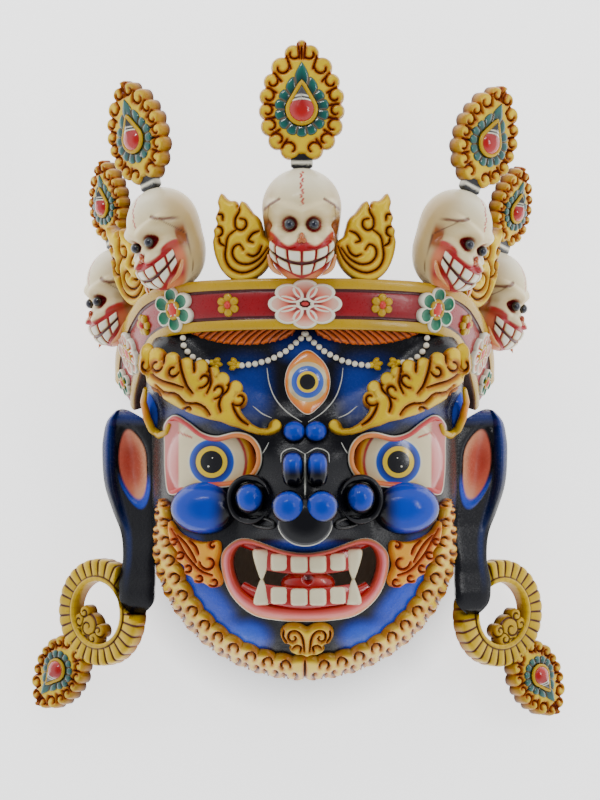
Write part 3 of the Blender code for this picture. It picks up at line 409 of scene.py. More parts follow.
def curl_field(u: Array, v: Array, curls: Sequence[Curl], line: float) -> tuple[Array, Array]:
    """Relief of overlapping curls.

    Each curl is a cap 1 - r*r cut by a spiral line where turns*r^0.8 - angle is whole. The highest
    cap wins, and a crease runs where two caps are equally high.

    Args:
        u, v: where the field is read.
        curls: the lobes.
        line: width of the cut lines.

    Returns:
        The cap height, below 0 outside all curls, and the share of cut, 0 to 1.
    """
    best = np.full(u.shape, -9.0)
    second = best.copy()
    cut = np.zeros(u.shape)
    for curl in curls:
        dx, dy = u - curl.x, v - curl.y
        reach = np.hypot(dx, dy) / curl.radius
        cap = 1.0 - reach * reach
        angle = curl.hand * (np.arctan2(dy, dx) - curl.start) / (2 * math.pi)
        winding = curl.turns * reach**0.8 - angle
        near = np.abs(winding - np.round(winding))
        width = line * curl.turns / curl.radius
        spiral = (1.0 - ramp(near, 0.25 * width, width)) * ramp(reach, 0.1, 0.22)
        spiral = spiral * ramp(-reach, -1.0, -0.93)
        better = cap > best
        second = np.where(better, best, np.maximum(second, cap))
        best = np.where(better, cap, best)
        cut = np.where(better, spiral, cut)
    crease = (1.0 - ramp(best - second, 0.0, 0.22)) * (best > 0.0) * (second > -0.15)
    return best, np.maximum(cut, 0.9 * crease)


def discs_distance(u: Array, v: Array, discs: Table) -> Array:
    """Distance outside the union of discs (x, y, radius), negative inside it."""
    return np.min([np.hypot(u - x, v - y) - radius for x, y, radius in discs], axis=0)


def polygon_distance(u: Array, v: Array, loop: Array) -> Array:
    """Distance outside a closed loop, negative inside: nearest segment, and even-odd crossings."""
    ends = np.roll(loop, -1, axis=0)
    nearest = np.full(u.shape, 9.0)
    inside = np.zeros(u.shape, bool)
    for (ax, ay), (bx, by) in zip(loop, ends):
        dx, dy = bx - ax, by - ay
        along = np.clip(((u - ax) * dx + (v - ay) * dy) / (dx * dx + dy * dy), 0.0, 1.0)
        nearest = np.minimum(nearest, np.hypot(u - ax - along * dx, v - ay - along * dy))
        if by != ay:
            spans = (ay > v) != (by > v)
            inside ^= spans & (u < ax + (v - ay) * dx / dy)
    return np.where(inside, -nearest, nearest)


def by_discs(discs: Table) -> Field:
    """The outline of a union of discs."""
    return lambda u, v: discs_distance(u, v, discs)


def by_loop(loop: Array) -> Field:
    """The outline of a closed loop."""
    return lambda u, v: polygon_distance(u, v, loop)


def flat(u: Array, v: Array) -> Array:
    """A plate's own middle plane."""
    return points_of(u, v, 0.0)


def grid_between(low: Row, high: Row, step: float) -> tuple[Array, Array]:
    """A square grid of two parameters from low to high."""
    us = np.arange(low[0], high[0] + step, step)
    vs = np.arange(low[1], high[1] + step, step)
    return np.meshgrid(us, vs, indexing="ij")


def kept_cells(inside: Array) -> Array:
    """Cells of a grid whose four corners are inside, without pairs that meet only at a corner."""
    cells = inside[:-1, :-1] & inside[1:, :-1] & inside[:-1, 1:] & inside[1:, 1:]
    for _ in range(3):
        a, b, c, d = cells[:-1, :-1], cells[1:, 1:], cells[:-1, 1:], cells[1:, :-1]
        cells[:-1, :-1] = a & ~(a & b & ~c & ~d)
        a, b, c, d = cells[:-1, :-1], cells[1:, 1:], cells[:-1, 1:], cells[1:, :-1]
        cells[:-1, 1:] = c & ~(c & d & ~a & ~b)
    return cells


def carved_plate(
    low: Row, high: Row, step: float, outline: Field, relief: Relief, carrier: Field, sink: float,
) -> Surface:
    """A closed plate with a crisp outline, carved on top and flat below.

    A square grid is kept where the outline's distance is negative, and its edge points slide onto the
    outline: p - d*grad(d)/|grad(d)|^2. Top points are carrier + normal*relief, bottom points are
    carrier - normal*sink, and walls join them.

    Args:
        low, high: corners of the grid.
        step: its spacing.
        outline: distance outside the plate, negative inside.
        relief: gives height and paint for (u, v, distance).
        carrier: the surface that the plate lies on.
        sink: how far the bottom lies below the carrier.
    """
    u, v = grid_between(low, high, step)
    cells = kept_cells(outline(u, v) < 0.45 * step)
    padded = np.pad(cells, 1)
    around = (
        padded[:-1, :-1].astype(int) + padded[1:, :-1] + padded[:-1, 1:] + padded[1:, 1:]
    )
    edge = (around > 0) & (around < 4)
    eu, ev, small = u[edge], v[edge], 0.05 * step
    for _ in range(3):
        away = outline(eu, ev)
        gu = (outline(eu + small, ev) - outline(eu - small, ev)) / (2 * small)
        gv = (outline(eu, ev + small) - outline(eu, ev - small)) / (2 * small)
        length = np.maximum(gu * gu + gv * gv, 0.25)
        away = np.clip(away, -0.6 * step, 0.6 * step)
        eu, ev = eu - away * gu / length, ev - away * gv / length
    u[edge], v[edge] = eu, ev
    used = around > 0
    number = np.full(u.shape, -1)
    number[used] = np.arange(used.sum())
    u, v = u[used], v[used]
    base = carrier(u, v)
    small = 0.25 * step
    across = carrier(u + small, v) - carrier(u - small, v)
    upward = carrier(u, v + small) - carrier(u, v - small)
    normal = np.cross(across, upward)
    normal = normal / np.maximum(np.linalg.norm(normal, axis=1, keepdims=True), 1e-12)
    normal = normal * (1.0 if normal[:, 2].mean() > 0.0 else -1.0)
    height, paint = relief(u, v, outline(u, v))
    count = len(u)
    top = base + normal * height[:, None]
    bottom = base - normal * sink
    corners = [number[:-1, :-1], number[1:, :-1], number[1:, 1:], number[:-1, 1:]]
    face = np.stack([corner[cells] for corner in corners], axis=1)
    walls = []
    for missing, first, second in (
        (~padded[1:-1, :-2], 0, 1), (~padded[2:, 1:-1], 1, 2),
        (~padded[1:-1, 2:], 2, 3), (~padded[:-2, 1:-1], 3, 0),
    ):
        open_edge = cells & missing
        a, b = corners[first][open_edge], corners[second][open_edge]
        walls.append(np.stack([b, a, a + count, b + count], axis=1))
    quads = np.concatenate([face, face[:, ::-1] + count] + walls)
    under = paint_of(UMBER, paint)
    return Surface(
        np.concatenate([top, bottom]), quads, NO_TRIS, np.concatenate([paint, under])
    ).outwards()


@dataclass(frozen=True)
class Scroll:
    """How a scrolled gold plate is carved and painted: heights of board, lobes and cuts."""

    board: float = 2.0 * MM
    lobe: float = 3.5 * MM
    cut: float = 1.6 * MM
    line: float = 1.5 * MM
    edge: float = 1.6 * MM
    bright: Row = GOLD
    dark: Row = UMBER

    def relief(self, curls: Sequence[Curl]) -> Relief:
        """Height and paint of curls on a board: board + lobe*sqrt(cap) - cut, rounded at the edge."""

        def field(u: Array, v: Array, away: Array) -> tuple[Array, Array]:
            """Reads the curls' field and rounds the plate's edge by sqrt(distance/edge)."""
            cap, cut = curl_field(u, v, curls, self.line)
            rounding = np.sqrt(within(-away / self.edge))
            height = self.board + self.lobe * np.sqrt(within(cap)) - self.cut * cut
            dark = np.maximum(cut, 0.55 * ramp(-cap, -0.02, 0.1) * (cap < 0.0))
            # Ochre towards each lobe's low edge: painted shade.
            shade = blend(self.bright, OCHRE, 0.45 * ramp(-cap, -0.75, 0.1))
            paint = blend(shade, self.dark, within(dark))
            return height * (0.35 + 0.65 * rounding), paint

        return field


def comma(x: float, y: float, radius: float, start: float, hand: int, turns: float = 0.72) -> Array:
    """A curled cut in MM: r = radius*(0.42 + 0.58 t), winding turns times from start in degrees."""
    share = np.linspace(0.0, 1.0, 16)
    reach = radius * (0.42 + 0.58 * share)
    angle = math.radians(start) + hand * 2 * math.pi * turns * share
    return np.stack(polar(reach, angle, x, y), axis=1) * MM


def smooth_line(line: Table, count: int, unit: float = MM) -> Array:
    """A smooth open curve through points: a Hermite cubic over their own lengths."""
    points = np.asarray(line, float) * unit
    at = np.concatenate([[0.0], np.cumsum(np.linalg.norm(np.diff(points, axis=0), axis=1))])
    return curve_through(at, points, np.linspace(0.0, at[-1], count))


def cuts_of(commas: Table, lines: Sequence[Table]) -> list[Array]:
    """The cuts of a plate, in MM: its curled ones and its long ones."""
    return [comma(*row) for row in commas] + [smooth_line(line, 14) for line in lines]


def strokes_distance(u: Array, v: Array, strokes: Sequence[Array]) -> Array:
    """Distance to the nearest of several open lines, a little further towards their ends."""
    nearest = np.full(u.shape, 9.0)
    for stroke in strokes:
        count = len(stroke) - 1
        for k, ((ax, ay), (bx, by)) in enumerate(zip(stroke[:-1], stroke[1:])):
            dx, dy = bx - ax, by - ay
            along = np.clip(((u - ax) * dx + (v - ay) * dy) / (dx * dx + dy * dy + 1e-12), 0.0, 1.0)
            thin = 0.45 * MM * max(0.0, abs(2.0 * (k + 0.5) / count - 1.0) - 0.55) / 0.45
            nearest = np.minimum(nearest, np.hypot(u - ax - along * dx, v - ay - along * dy) + thin)
    return nearest


@dataclass(frozen=True)
class Flame:
    """How a flame-like gold plate is carved: puffed between its cuts, whose edges glow orange."""

    board: float = 3.0 * MM
    puff: float = 2.6 * MM
    reach: float = 2.6 * MM
    cut: float = 1.6 * MM
    line: float = 1.15 * MM
    glow: float = 0.55
    bright: Row = GOLD
    # The colour of the painted shade next to the cuts and the edge.
    shade_colour: Row = OCHRE
    dark: Row = UMBER
    warmth: Row = (0.52, 0.06, 0.008)

    def relief(self, strokes: Sequence[Array]) -> Relief:
        """Height board + puff*(1 - exp(-(d/reach)^2)) of the distance d to a cut or the edge."""

        def field(u: Array, v: Array, away: Array) -> tuple[Array, Array]:
            """Reads the distance to the strokes and to the plate's edge."""
            near = strokes_distance(u, v, strokes)
            inner = np.minimum(near, np.clip(-away, 0.0, None))
            puff = 1.0 - np.exp(-((inner / self.reach) ** 1.5) * 2.2)
            cut = 1.0 - ramp(near, 0.45 * self.line, self.line)
            height = self.board + self.puff * puff - self.cut * cut
            height = height * (0.55 + 0.45 * np.sqrt(within(-away / (1.2 * MM))))
            warm = self.glow * (1.0 - ramp(near, self.line, 3.4 * self.line))
            # Pale gold on the puffed tops away from the cuts is painted highlight; the darker colour next to
            # the cuts and the edge is painted shade.
            shade = blend(HIGHLIGHT_GOLD if self.bright is GOLD else self.bright, self.bright,
                          1.0 - ramp(inner, 1.5 * MM, 4.5 * MM))
            shade = blend(shade, self.shade_colour, 0.6 * (1.0 - ramp(inner, 0.4 * MM, 2.2 * MM)))
            paint = blend(blend(shade, self.warmth, warm), self.dark, cut)
            return height, paint

        return field


# Finishes

def node_of(tree: Tree, kind: str, data_type: str = "", **inputs: object) -> bpy.types.Node:
    """A shader node with its inputs set, or linked where a socket is given.

    Args:
        tree: the node tree.
        kind: the node's type without "ShaderNode".
        data_type: "RGBA" for a Mix of colours.
        inputs: values or sockets by input name; first and second stand for a Math node's two inputs.

    Returns:
        The node.
    """
    node = tree.nodes.new("ShaderNode" + kind)
    if data_type:
        node.data_type = data_type
    for name, value in inputs.items():
        socket = node.inputs[("first", "second").index(name) if name in ("first", "second") else name]
        if isinstance(value, Socket):
            tree.links.new(value, socket)
        else:
            socket.default_value = value
    return node


def span(tree: Tree, value: Socket, start: float, end: float, low: float, high: float) -> Socket:
    """Maps start..end onto low..high, clamped."""
    node = node_of(tree, "MapRange", Value=value)
    for name, number in zip(("From Min", "From Max", "To Min", "To Max"), (start, end, low, high)):
        node.inputs[name].default_value = number
    return node.outputs["Result"]


@dataclass(frozen=True)
class Finish:
    """A painted finish: its gloss, its grain and how it has aged. The colour is the piece's paint.

    The paint attribute is darkened and lightened by noise, worn towards wear in specks, and the
    roughness and a fine bump follow the same noises.
    """

    name: str
    rough_low: float
    rough_high: float
    metallic: float = 0.0
    coat: float = 0.5
    grain: float = 60.0
    bump: float = 0.12
    bump_depth: float = 0.0004
    vary: float = 0.18
    wear: Row = BARE_WOOD
    wear_amount: float = 0.25
    wear_start: float = 0.68
    specular: float = 0.5

    def material(self) -> bpy.types.Material:
        """Builds the node material, once."""
        known = bpy.data.materials.get(self.name)
        if known:
            return known
        material = bpy.data.materials.new(self.name)
        material.use_nodes = True
        tree = material.node_tree
        shader = tree.nodes["Principled BSDF"]
        fixed = (("Metallic", self.metallic), ("Coat Weight", self.coat), ("Coat Roughness", 0.12),
                 ("Specular IOR Level", self.specular))
        for name, number in fixed:
            shader.inputs[name].default_value = number
        place = node_of(tree, "TexCoord").outputs["Object"]
        paint = node_of(tree, "Attribute")
        paint.attribute_name = "paint"
        broad, fine, specks = (
            node_of(tree, "TexNoise", Vector=place, Scale=self.grain * times, Detail=detail, Roughness=rough)
            .outputs["Fac"] for times, detail, rough in ((0.35, 4.0, 0.6), (5.0, 5.0, 0.65), (2.2, 6.0, 0.7))
        )
        toned = node_of(tree, "Mix", "RGBA", Factor=1.0, A=paint.outputs["Color"],
                        B=span(tree, broad, 0.25, 0.75, 1.0 - self.vary, 1.0 + self.vary))
        toned.blend_type = "MULTIPLY"
        worn = span(tree, specks, self.wear_start, self.wear_start + 0.09, 0.0, self.wear_amount)
        wear = node_of(tree, "Mix", "RGBA", Factor=worn, A=toned.outputs["Result"], B=(*self.wear, 1.0))
        tree.links.new(wear.outputs["Result"], shader.inputs["Base Color"])
        rough = span(tree, fine, 0.3, 0.7, self.rough_low, self.rough_high)
        tree.links.new(rough, shader.inputs["Roughness"])
        heights = node_of(tree, "Math", first=fine, second=specks)
        relief = node_of(tree, "Bump", Strength=self.bump, Distance=self.bump_depth,
                         Height=heights.outputs["Value"])
        for name in ("Normal", "Coat Normal"):
            tree.links.new(relief.outputs["Normal"], shader.inputs[name])
        return material


LACQUER = Finish("gloss_lacquer", 0.16, 0.34, coat=0.18, wear=(0.06, 0.05, 0.05), wear_amount=0.16,
                 wear_start=0.71, vary=0.22, bump=0.3, bump_depth=0.0008, specular=0.22)
BOSS = Finish("boss_lacquer", 0.1, 0.22, coat=0.3, wear=(0.04, 0.05, 0.08), wear_amount=0.16,
              wear_start=0.72, vary=0.14, bump=0.16, bump_depth=0.0006, specular=0.22)
GILT = Finish("gold_paint_finish", 0.24, 0.44, metallic=0.1, coat=0.14, vary=0.2, specular=0.3,
              wear=UMBER, wear_amount=0.3, bump=0.25, bump_depth=0.0006)
ENAMEL = Finish("bone_paint_finish", 0.26, 0.44, coat=0.25, vary=0.1, wear=(0.3, 0.2, 0.1),
                wear_amount=0.3, bump=0.18, specular=0.4)
BAND_PAINT = Finish("crown_paint_finish", 0.22, 0.4, coat=0.35, vary=0.16, wear=MAROON,
                    wear_amount=0.3, bump=0.22, specular=0.4)
JEWEL_PAINT = Finish("jewel_paint_finish", 0.1, 0.24, coat=0.6, vary=0.1, wear=BLACK,
                     wear_amount=0.15, bump=0.06)
EYE_PAINT = Finish("eye_paint_finish", 0.14, 0.28, coat=0.6, vary=0.06, wear=OCHRE,
                   wear_amount=0.15, wear_start=0.72, bump=0.08)
HAIR_PAINT = Finish("hair_paint_finish", 0.34, 0.55, coat=0.15, vary=0.24, wear=UMBER,
                    wear_amount=0.35, wear_start=0.64, bump=0.3, grain=90.0)


class Workshop:
    """Turns surfaces into pieces that ride on the part's body, and keeps count of them."""

    def __init__(self) -> None:
        """Starts with no pieces."""
        self.triangles = 0

    def piece(self, name: str, surface: Surface, finish: Finish,
              node: Optional[str] = None, crisp: float = 38.0) -> bpy.types.Object:
        """Makes one piece.

        Args:
            name: its name.
            surface: its shape and paint, in the mask's own place.
            finish: its finish.
            node: the CAD node that it stands for, if any.
            crisp: edges sharper than this many degrees stay sharp.

        Returns:
            The object, at the origin of the part's frame.
        """
        mesh = self.mesh(name, surface)
        mesh.shade_smooth()
        mesh.set_sharp_from_angle(angle=math.radians(crisp))
        mesh.materials.append(finish.material())
        thing = bpy.data.objects.new(name, mesh)
        bpy.context.scene.collection.objects.link(thing)
        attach(thing, "root")
        if node:
            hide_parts(node)
        count = 2 * len(surface.quads) + len(surface.tris)
        self.triangles += count
        LOG.info("%s: %d triangles", name, count)
        return thing

    def mesh(self, name: str, surface: Surface) -> bpy.types.Mesh:
        """The surface as a mesh in the part's frame, with its paint as a colour on each point."""
        mesh = bpy.data.meshes.new(name)
        mesh.vertices.add(len(surface.points))
        mesh.vertices.foreach_set("co", (surface.points + ORIGIN).astype(np.float32).ravel())
        corners = np.concatenate([surface.quads.ravel(), surface.tris.ravel()]).astype(np.int32)
        sizes = np.concatenate([np.full(len(surface.quads), 4), np.full(len(surface.tris), 3)])
        starts = np.concatenate([[0], np.cumsum(sizes)[:-1]]).astype(np.int32)
        mesh.loops.add(len(corners))
        mesh.loops.foreach_set("vertex_index", corners)
        mesh.polygons.add(len(sizes))
        mesh.polygons.foreach_set("loop_start", starts)
        colours = np.concatenate([within(surface.paint), np.ones((len(surface.paint), 1))], axis=1)
        layer = mesh.attributes.new("paint", "FLOAT_COLOR", "POINT")
        layer.data.foreach_set("color", colours.astype(np.float32).ravel())
        mesh.update(calc_edges=True)
        mesh.validate()
        return mesh

    def pair(self, name: str, surface: Surface, finish: Finish,
             node: Optional[str] = None, crisp: float = 38.0) -> None:
        """A piece on the right and its mirror image on the left, named and noded by side."""
        for side, shape in (("left", surface.mirrored()), ("right", surface)):
            self.piece(f"{name}_{side}", shape.outwards(), finish, node and f"{node}_{side}", crisp)


# The face

@dataclass(frozen=True)
class FaceForm:
    """The plain shape under the carving: a dome, round at the jaw and square at the forehead."""

    half_face: float = 0.163
    depth: float = 0.195
    jaw_drop: float = 0.158
    forehead_rise: float = 0.24
    cheek_line: float = -0.053
    temple_flare: float = 0.004
    side_wall: float = 0.014
    front_wall: float = 0.023
    squareness: float = 6.0
    round_sides: float = 3.4
    square_top: float = 8.0
    carving: float = 0.157

    def level(self, x: Array, y: Array) -> Array:
        """How far out a point lies: 0 in the middle, 1 on the rim (an oval below, squarer above)."""
        flare = ramp(y, 0.16 * self.half_face, 0.56 * self.half_face)
        across = np.abs(x) / (self.half_face + self.temple_flare * flare)
        up = y - self.cheek_line
        jaw = np.hypot(across, up / self.jaw_drop)
        power = self.squareness
        forehead = (across**power + np.abs(up / self.forehead_rise) ** power) ** (1.0 / power)
        return np.where(up < 0.0, jaw, forehead)

    def dome(self, level: Array, y: Array, depth: float) -> Array:
        """Depth of the plain dome, d*(1 - l^p)^(1/p), whose power p grows up the forehead."""
        rise = ramp(y, 0.4 * self.half_face, 0.95 * self.half_face)
        power = self.round_sides + (self.square_top - self.round_sides) * rise
        return depth * within(1.0 - level**power) ** (1.0 / power)

    def forms(self, x: Array, y: Array) -> Array:
        """The large soft forms, muzzle, nose, brow ridge, forehead and chin, as a sum of hills."""
        side, up = np.abs(x) / self.carving, y / self.carving
        muzzle = 0.13 * bump(np.hypot(side / 0.78, (up + 0.62) / 0.46))
        down = ramp(-up, -0.38, 0.1)
        nose = (0.07 + 0.17 * down) * bump(side / (0.24 + 0.2 * down))
        nose = nose * ramp(up, -0.5, -0.3) * ramp(-up, -0.55, -0.38)
        ridge = curve_through((0.17, 0.3, 0.42, 0.7, 1.02), (0.315, 0.335, 0.39, 0.6, 0.8), side)
        brow = 0.11 * bump((up - ridge + 0.02) / 0.3) * ramp(side, 0.05, 0.3)
        forehead = 0.04 * bump(np.hypot(side / 0.55, (up - 0.62) / 0.45))
        chin = 0.05 * bump(np.hypot((side - 0.36) / 0.24, (up + 1.0) / 0.17))
        return self.carving * (muzzle + nose + brow + forehead + chin)

    def height(self, x: Array, y: Array) -> Array:
        """Height of the face without its sockets: dome + forms, faded under the crown and at the rim."""
        level = np.minimum(self.level(x, y), 1.0)
        fade = ramp(-y / self.carving, -0.95, -0.87) * ramp(1.0 - level, 0.0, 0.035)
        return self.dome(level, y, self.depth) + self.forms(x, y) * fade

    def over(self, x: float, y: float) -> float:
        """Height of the face over one point."""
        return float(self.height(np.full(1, x), np.full(1, y))[0])

    def on(self, x: Array, y: Array) -> Array:
        """The point of the face over (x, y); beyond the temples it stays at the temples' depth."""
        inner = np.clip(x, -0.93 * self.half_face, 0.93 * self.half_face)
        return points_of(x, y, self.height(inner, y))

    def reach(self, angles: Array, levels: Array) -> Array:
        """Distance from the cheek line's middle to each level along each direction, by bisection."""
        angles, levels = np.broadcast_arrays(angles, levels)
        near, far = np.zeros(angles.shape), np.full(angles.shape, 2.2 * self.forehead_rise)
        for _ in range(36):
            middle = (near + far) / 2
            beyond = self.level(middle * np.cos(angles), self.cheek_line + middle * np.sin(angles)) > levels
            far, near = np.where(beyond, middle, far), np.where(beyond, near, middle)
        return (near + far) / 2

    def rows(self, count: int) -> Array:
        """Levels from the middle to the rim, evenly spaced along the dome's profile."""
        turn = np.linspace(0.0, math.pi / 2, 2000)
        across, up = np.sin(turn) ** (2 / self.round_sides), np.cos(turn) ** (2 / self.round_sides)
        length = np.concatenate([[0.0], np.cumsum(np.hypot(np.diff(across), np.diff(up)))])
        return np.interp(np.linspace(0.0, length[-1], count + 1)[1:], length, across)


FORM = FaceForm()

# Outlines on the left half of the face as seen, as |x| and y in MM; the right half mirrors them
EYE_MIDDLE = (93.5, 18.0)
EYE_OPENING = (
    (140.5, 36), (140.5, 54), (131, 62.5), (118, 56), (103.5, 45.5), (88, 42), (68, 46), (54, 42),
    (46, 30), (46.5, 14), (57, 1), (80, -5), (106, -5), (122, -9), (136, -13), (140, 8),
)
LIPS_OUTER = ((0, -71.5), (22, -68.5), (44, -61), (60, -57.5), (73, -62), (83.5, -75), (82, -96),
              (72, -118), (52, -135), (26, -140.5), (0, -141.5))
LIPS_INNER = ((0, -76.5), (22, -74), (44, -67), (58, -64.5), (67, -69), (71, -82), (67, -100),
              (57, -112), (39, -120), (18, -123.5), (0, -124.5))


def whole_loop(half: Table, count: int) -> Array:
    """A loop symmetric about x = 0 from its half, whose ends lie on the axis."""
    other = [(-x, y) for x, y in half[-2:0:-1]]
    return closed_curve(list(half) + other, count) * MM


@dataclass
class Head:
    """The hollow shell of the face, with pits behind the eyes and a hole behind the lips."""

    columns: int = 420
    rows: int = 150
    lining_rows: int = 30
    pit: float = 15.0 * MM
    pit_margin: float = 1.5 * MM
    # Blue glazes in MM: share, |x|, y and the half axes
    blues: Table = (
        (0.55, 112, 66, 44, 14), (0.5, 70, 56, 34, 10), (0.7, 0, 132, 40, 22), (0.75, 0, -64, 58, 9),
    )

    def pits(self, x: Array, y: Array) -> Array:
        """Depth of the pits behind the eyes, by distance inside the openings."""
        loop = closed_curve(EYE_OPENING, 64) * MM
        away = polygon_distance(np.abs(x), y, loop)
        return self.pit * ramp(-away, self.pit_margin, self.pit_margin + 3.0 * MM)

    def paint(self, points: Array) -> Array:
        """Blue-black, with royal blue on the forehead, the jaw and the temples, by place."""
        x, y, z = np.abs(points[:, 0]) / MM, points[:, 1] / MM, points[:, 2] / MM
        blue = 0.85 * bump(np.hypot((x - 62) / 60, (y - 92) / 44)) * ramp(x, 24, 46)
        for share, across, up, wide, tall in self.blues:
            blue = np.maximum(blue, share * bump(np.hypot((x - across) / wide, (y - up) / tall)))
        level = FORM.level(points[:, 0], points[:, 1])
        jaw = ramp(level, 0.6, 0.7) * ramp(-level, -0.83, -0.78)
        jaw = jaw * ramp(-y, 50, 64) * ramp(x, 60, 84)
        chin = bump(np.hypot((x - 57) / 31, (y + 158) / 24))
        side = ramp(x, 132, 142) * ramp(y, -34, -20) * ramp(-y, -70, -50)
        colour = coats(
            paint_of(BLACK, points), (NAVY, within(1.6 * blue)), (ROYAL, within(0.5 * blue)),
            (ROYAL, within(jaw * 0.95 + 1.5 * chin)), (SKY, 0.35 * within(1.3 * chin - 0.4)),
            ((0.045, 0.04, 0.036), side),
        )
        lining = z < FORM.dome(np.minimum(level, 1.0), points[:, 1], FORM.depth) / MM - 6.0
        colour[lining & (level < 0.93)] = BARE_WOOD
        return colour

    def build(self) -> Surface:
        """Rings out from the middle over the front, round the rim and back along the lining."""
        angles = full_turn(self.columns)
        rows = FORM.rows(self.rows)[:, None]
        reach = FORM.reach(angles[None, :], rows)
        x, y = polar(reach, angles, 0.0, FORM.cheek_line)
        height = FORM.height(x, y) - self.pits(x, y)
        height[-1] = 0.0
        front = points_of(x, y, height)
        rows = FORM.rows(self.lining_rows)[:, None]
        reach = FORM.reach(angles[None, :], rows)
        inner_y = FORM.cheek_line + reach * np.sin(angles)
        depth = FORM.dome(np.broadcast_to(rows, reach.shape), inner_y, FORM.depth - FORM.front_wall)
        depth[-1] = 0.0
        shrink = 1.0 - FORM.side_wall / FORM.half_face
        lining = points_of(*polar(reach * shrink, angles, 0.0, FORM.cheek_line), depth)
        rings = np.concatenate([front, lining[::-1]])
        first = (0.0, FORM.cheek_line, FORM.over(0.0, FORM.cheek_line))
        last = (0.0, FORM.cheek_line, FORM.depth - FORM.front_wall)
        return ringed(rings, np.zeros(3), first, last)

    def make(self, shop: Workshop) -> None:
        """Cuts the mouth through the shell and paints what is left."""
        cutter_loop = whole_loop(LIPS_INNER, 72)
        middle = cutter_loop.mean(axis=0)
        cutter_loop = middle + (cutter_loop - middle) * 1.04
        ring = np.concatenate([cutter_loop, np.zeros((72, 1))], axis=1)
        rings = np.stack([ring + [0, 0, 0.02], ring + [0, 0, 0.3]])
        cutter = ringed(rings, np.zeros(3))
        shell = self.build()
        head = shop.piece("face_shell", shell, LACQUER, "head", crisp=60.0)
        tool = bpy.data.objects.new("mouth_tool", shop.mesh("mouth_tool", cutter.outwards()))
        bpy.context.scene.collection.objects.link(tool)
        hole = head.modifiers.new("Mouth", "BOOLEAN")
        hole.operation, hole.solver, hole.object = "DIFFERENCE", "EXACT", tool
        graph = bpy.context.evaluated_depsgraph_get()
        mesh = bpy.data.meshes.new_from_object(head.evaluated_get(graph))
        head.modifiers.clear()
        old, head.data = head.data, mesh
        bpy.data.meshes.remove(old)
        bpy.data.objects.remove(tool)
        points = np.empty(3 * len(mesh.vertices), np.float32)
        mesh.vertices.foreach_get("co", points)
        points = points.reshape(-1, 3) - ORIGIN
        colours = np.concatenate([self.paint(points), np.ones((len(points), 1))], axis=1)
        layer = mesh.attributes.get("paint") or mesh.attributes.new("paint", "FLOAT_COLOR", "POINT")
        layer.data.foreach_set("color", colours.astype(np.float32).ravel())


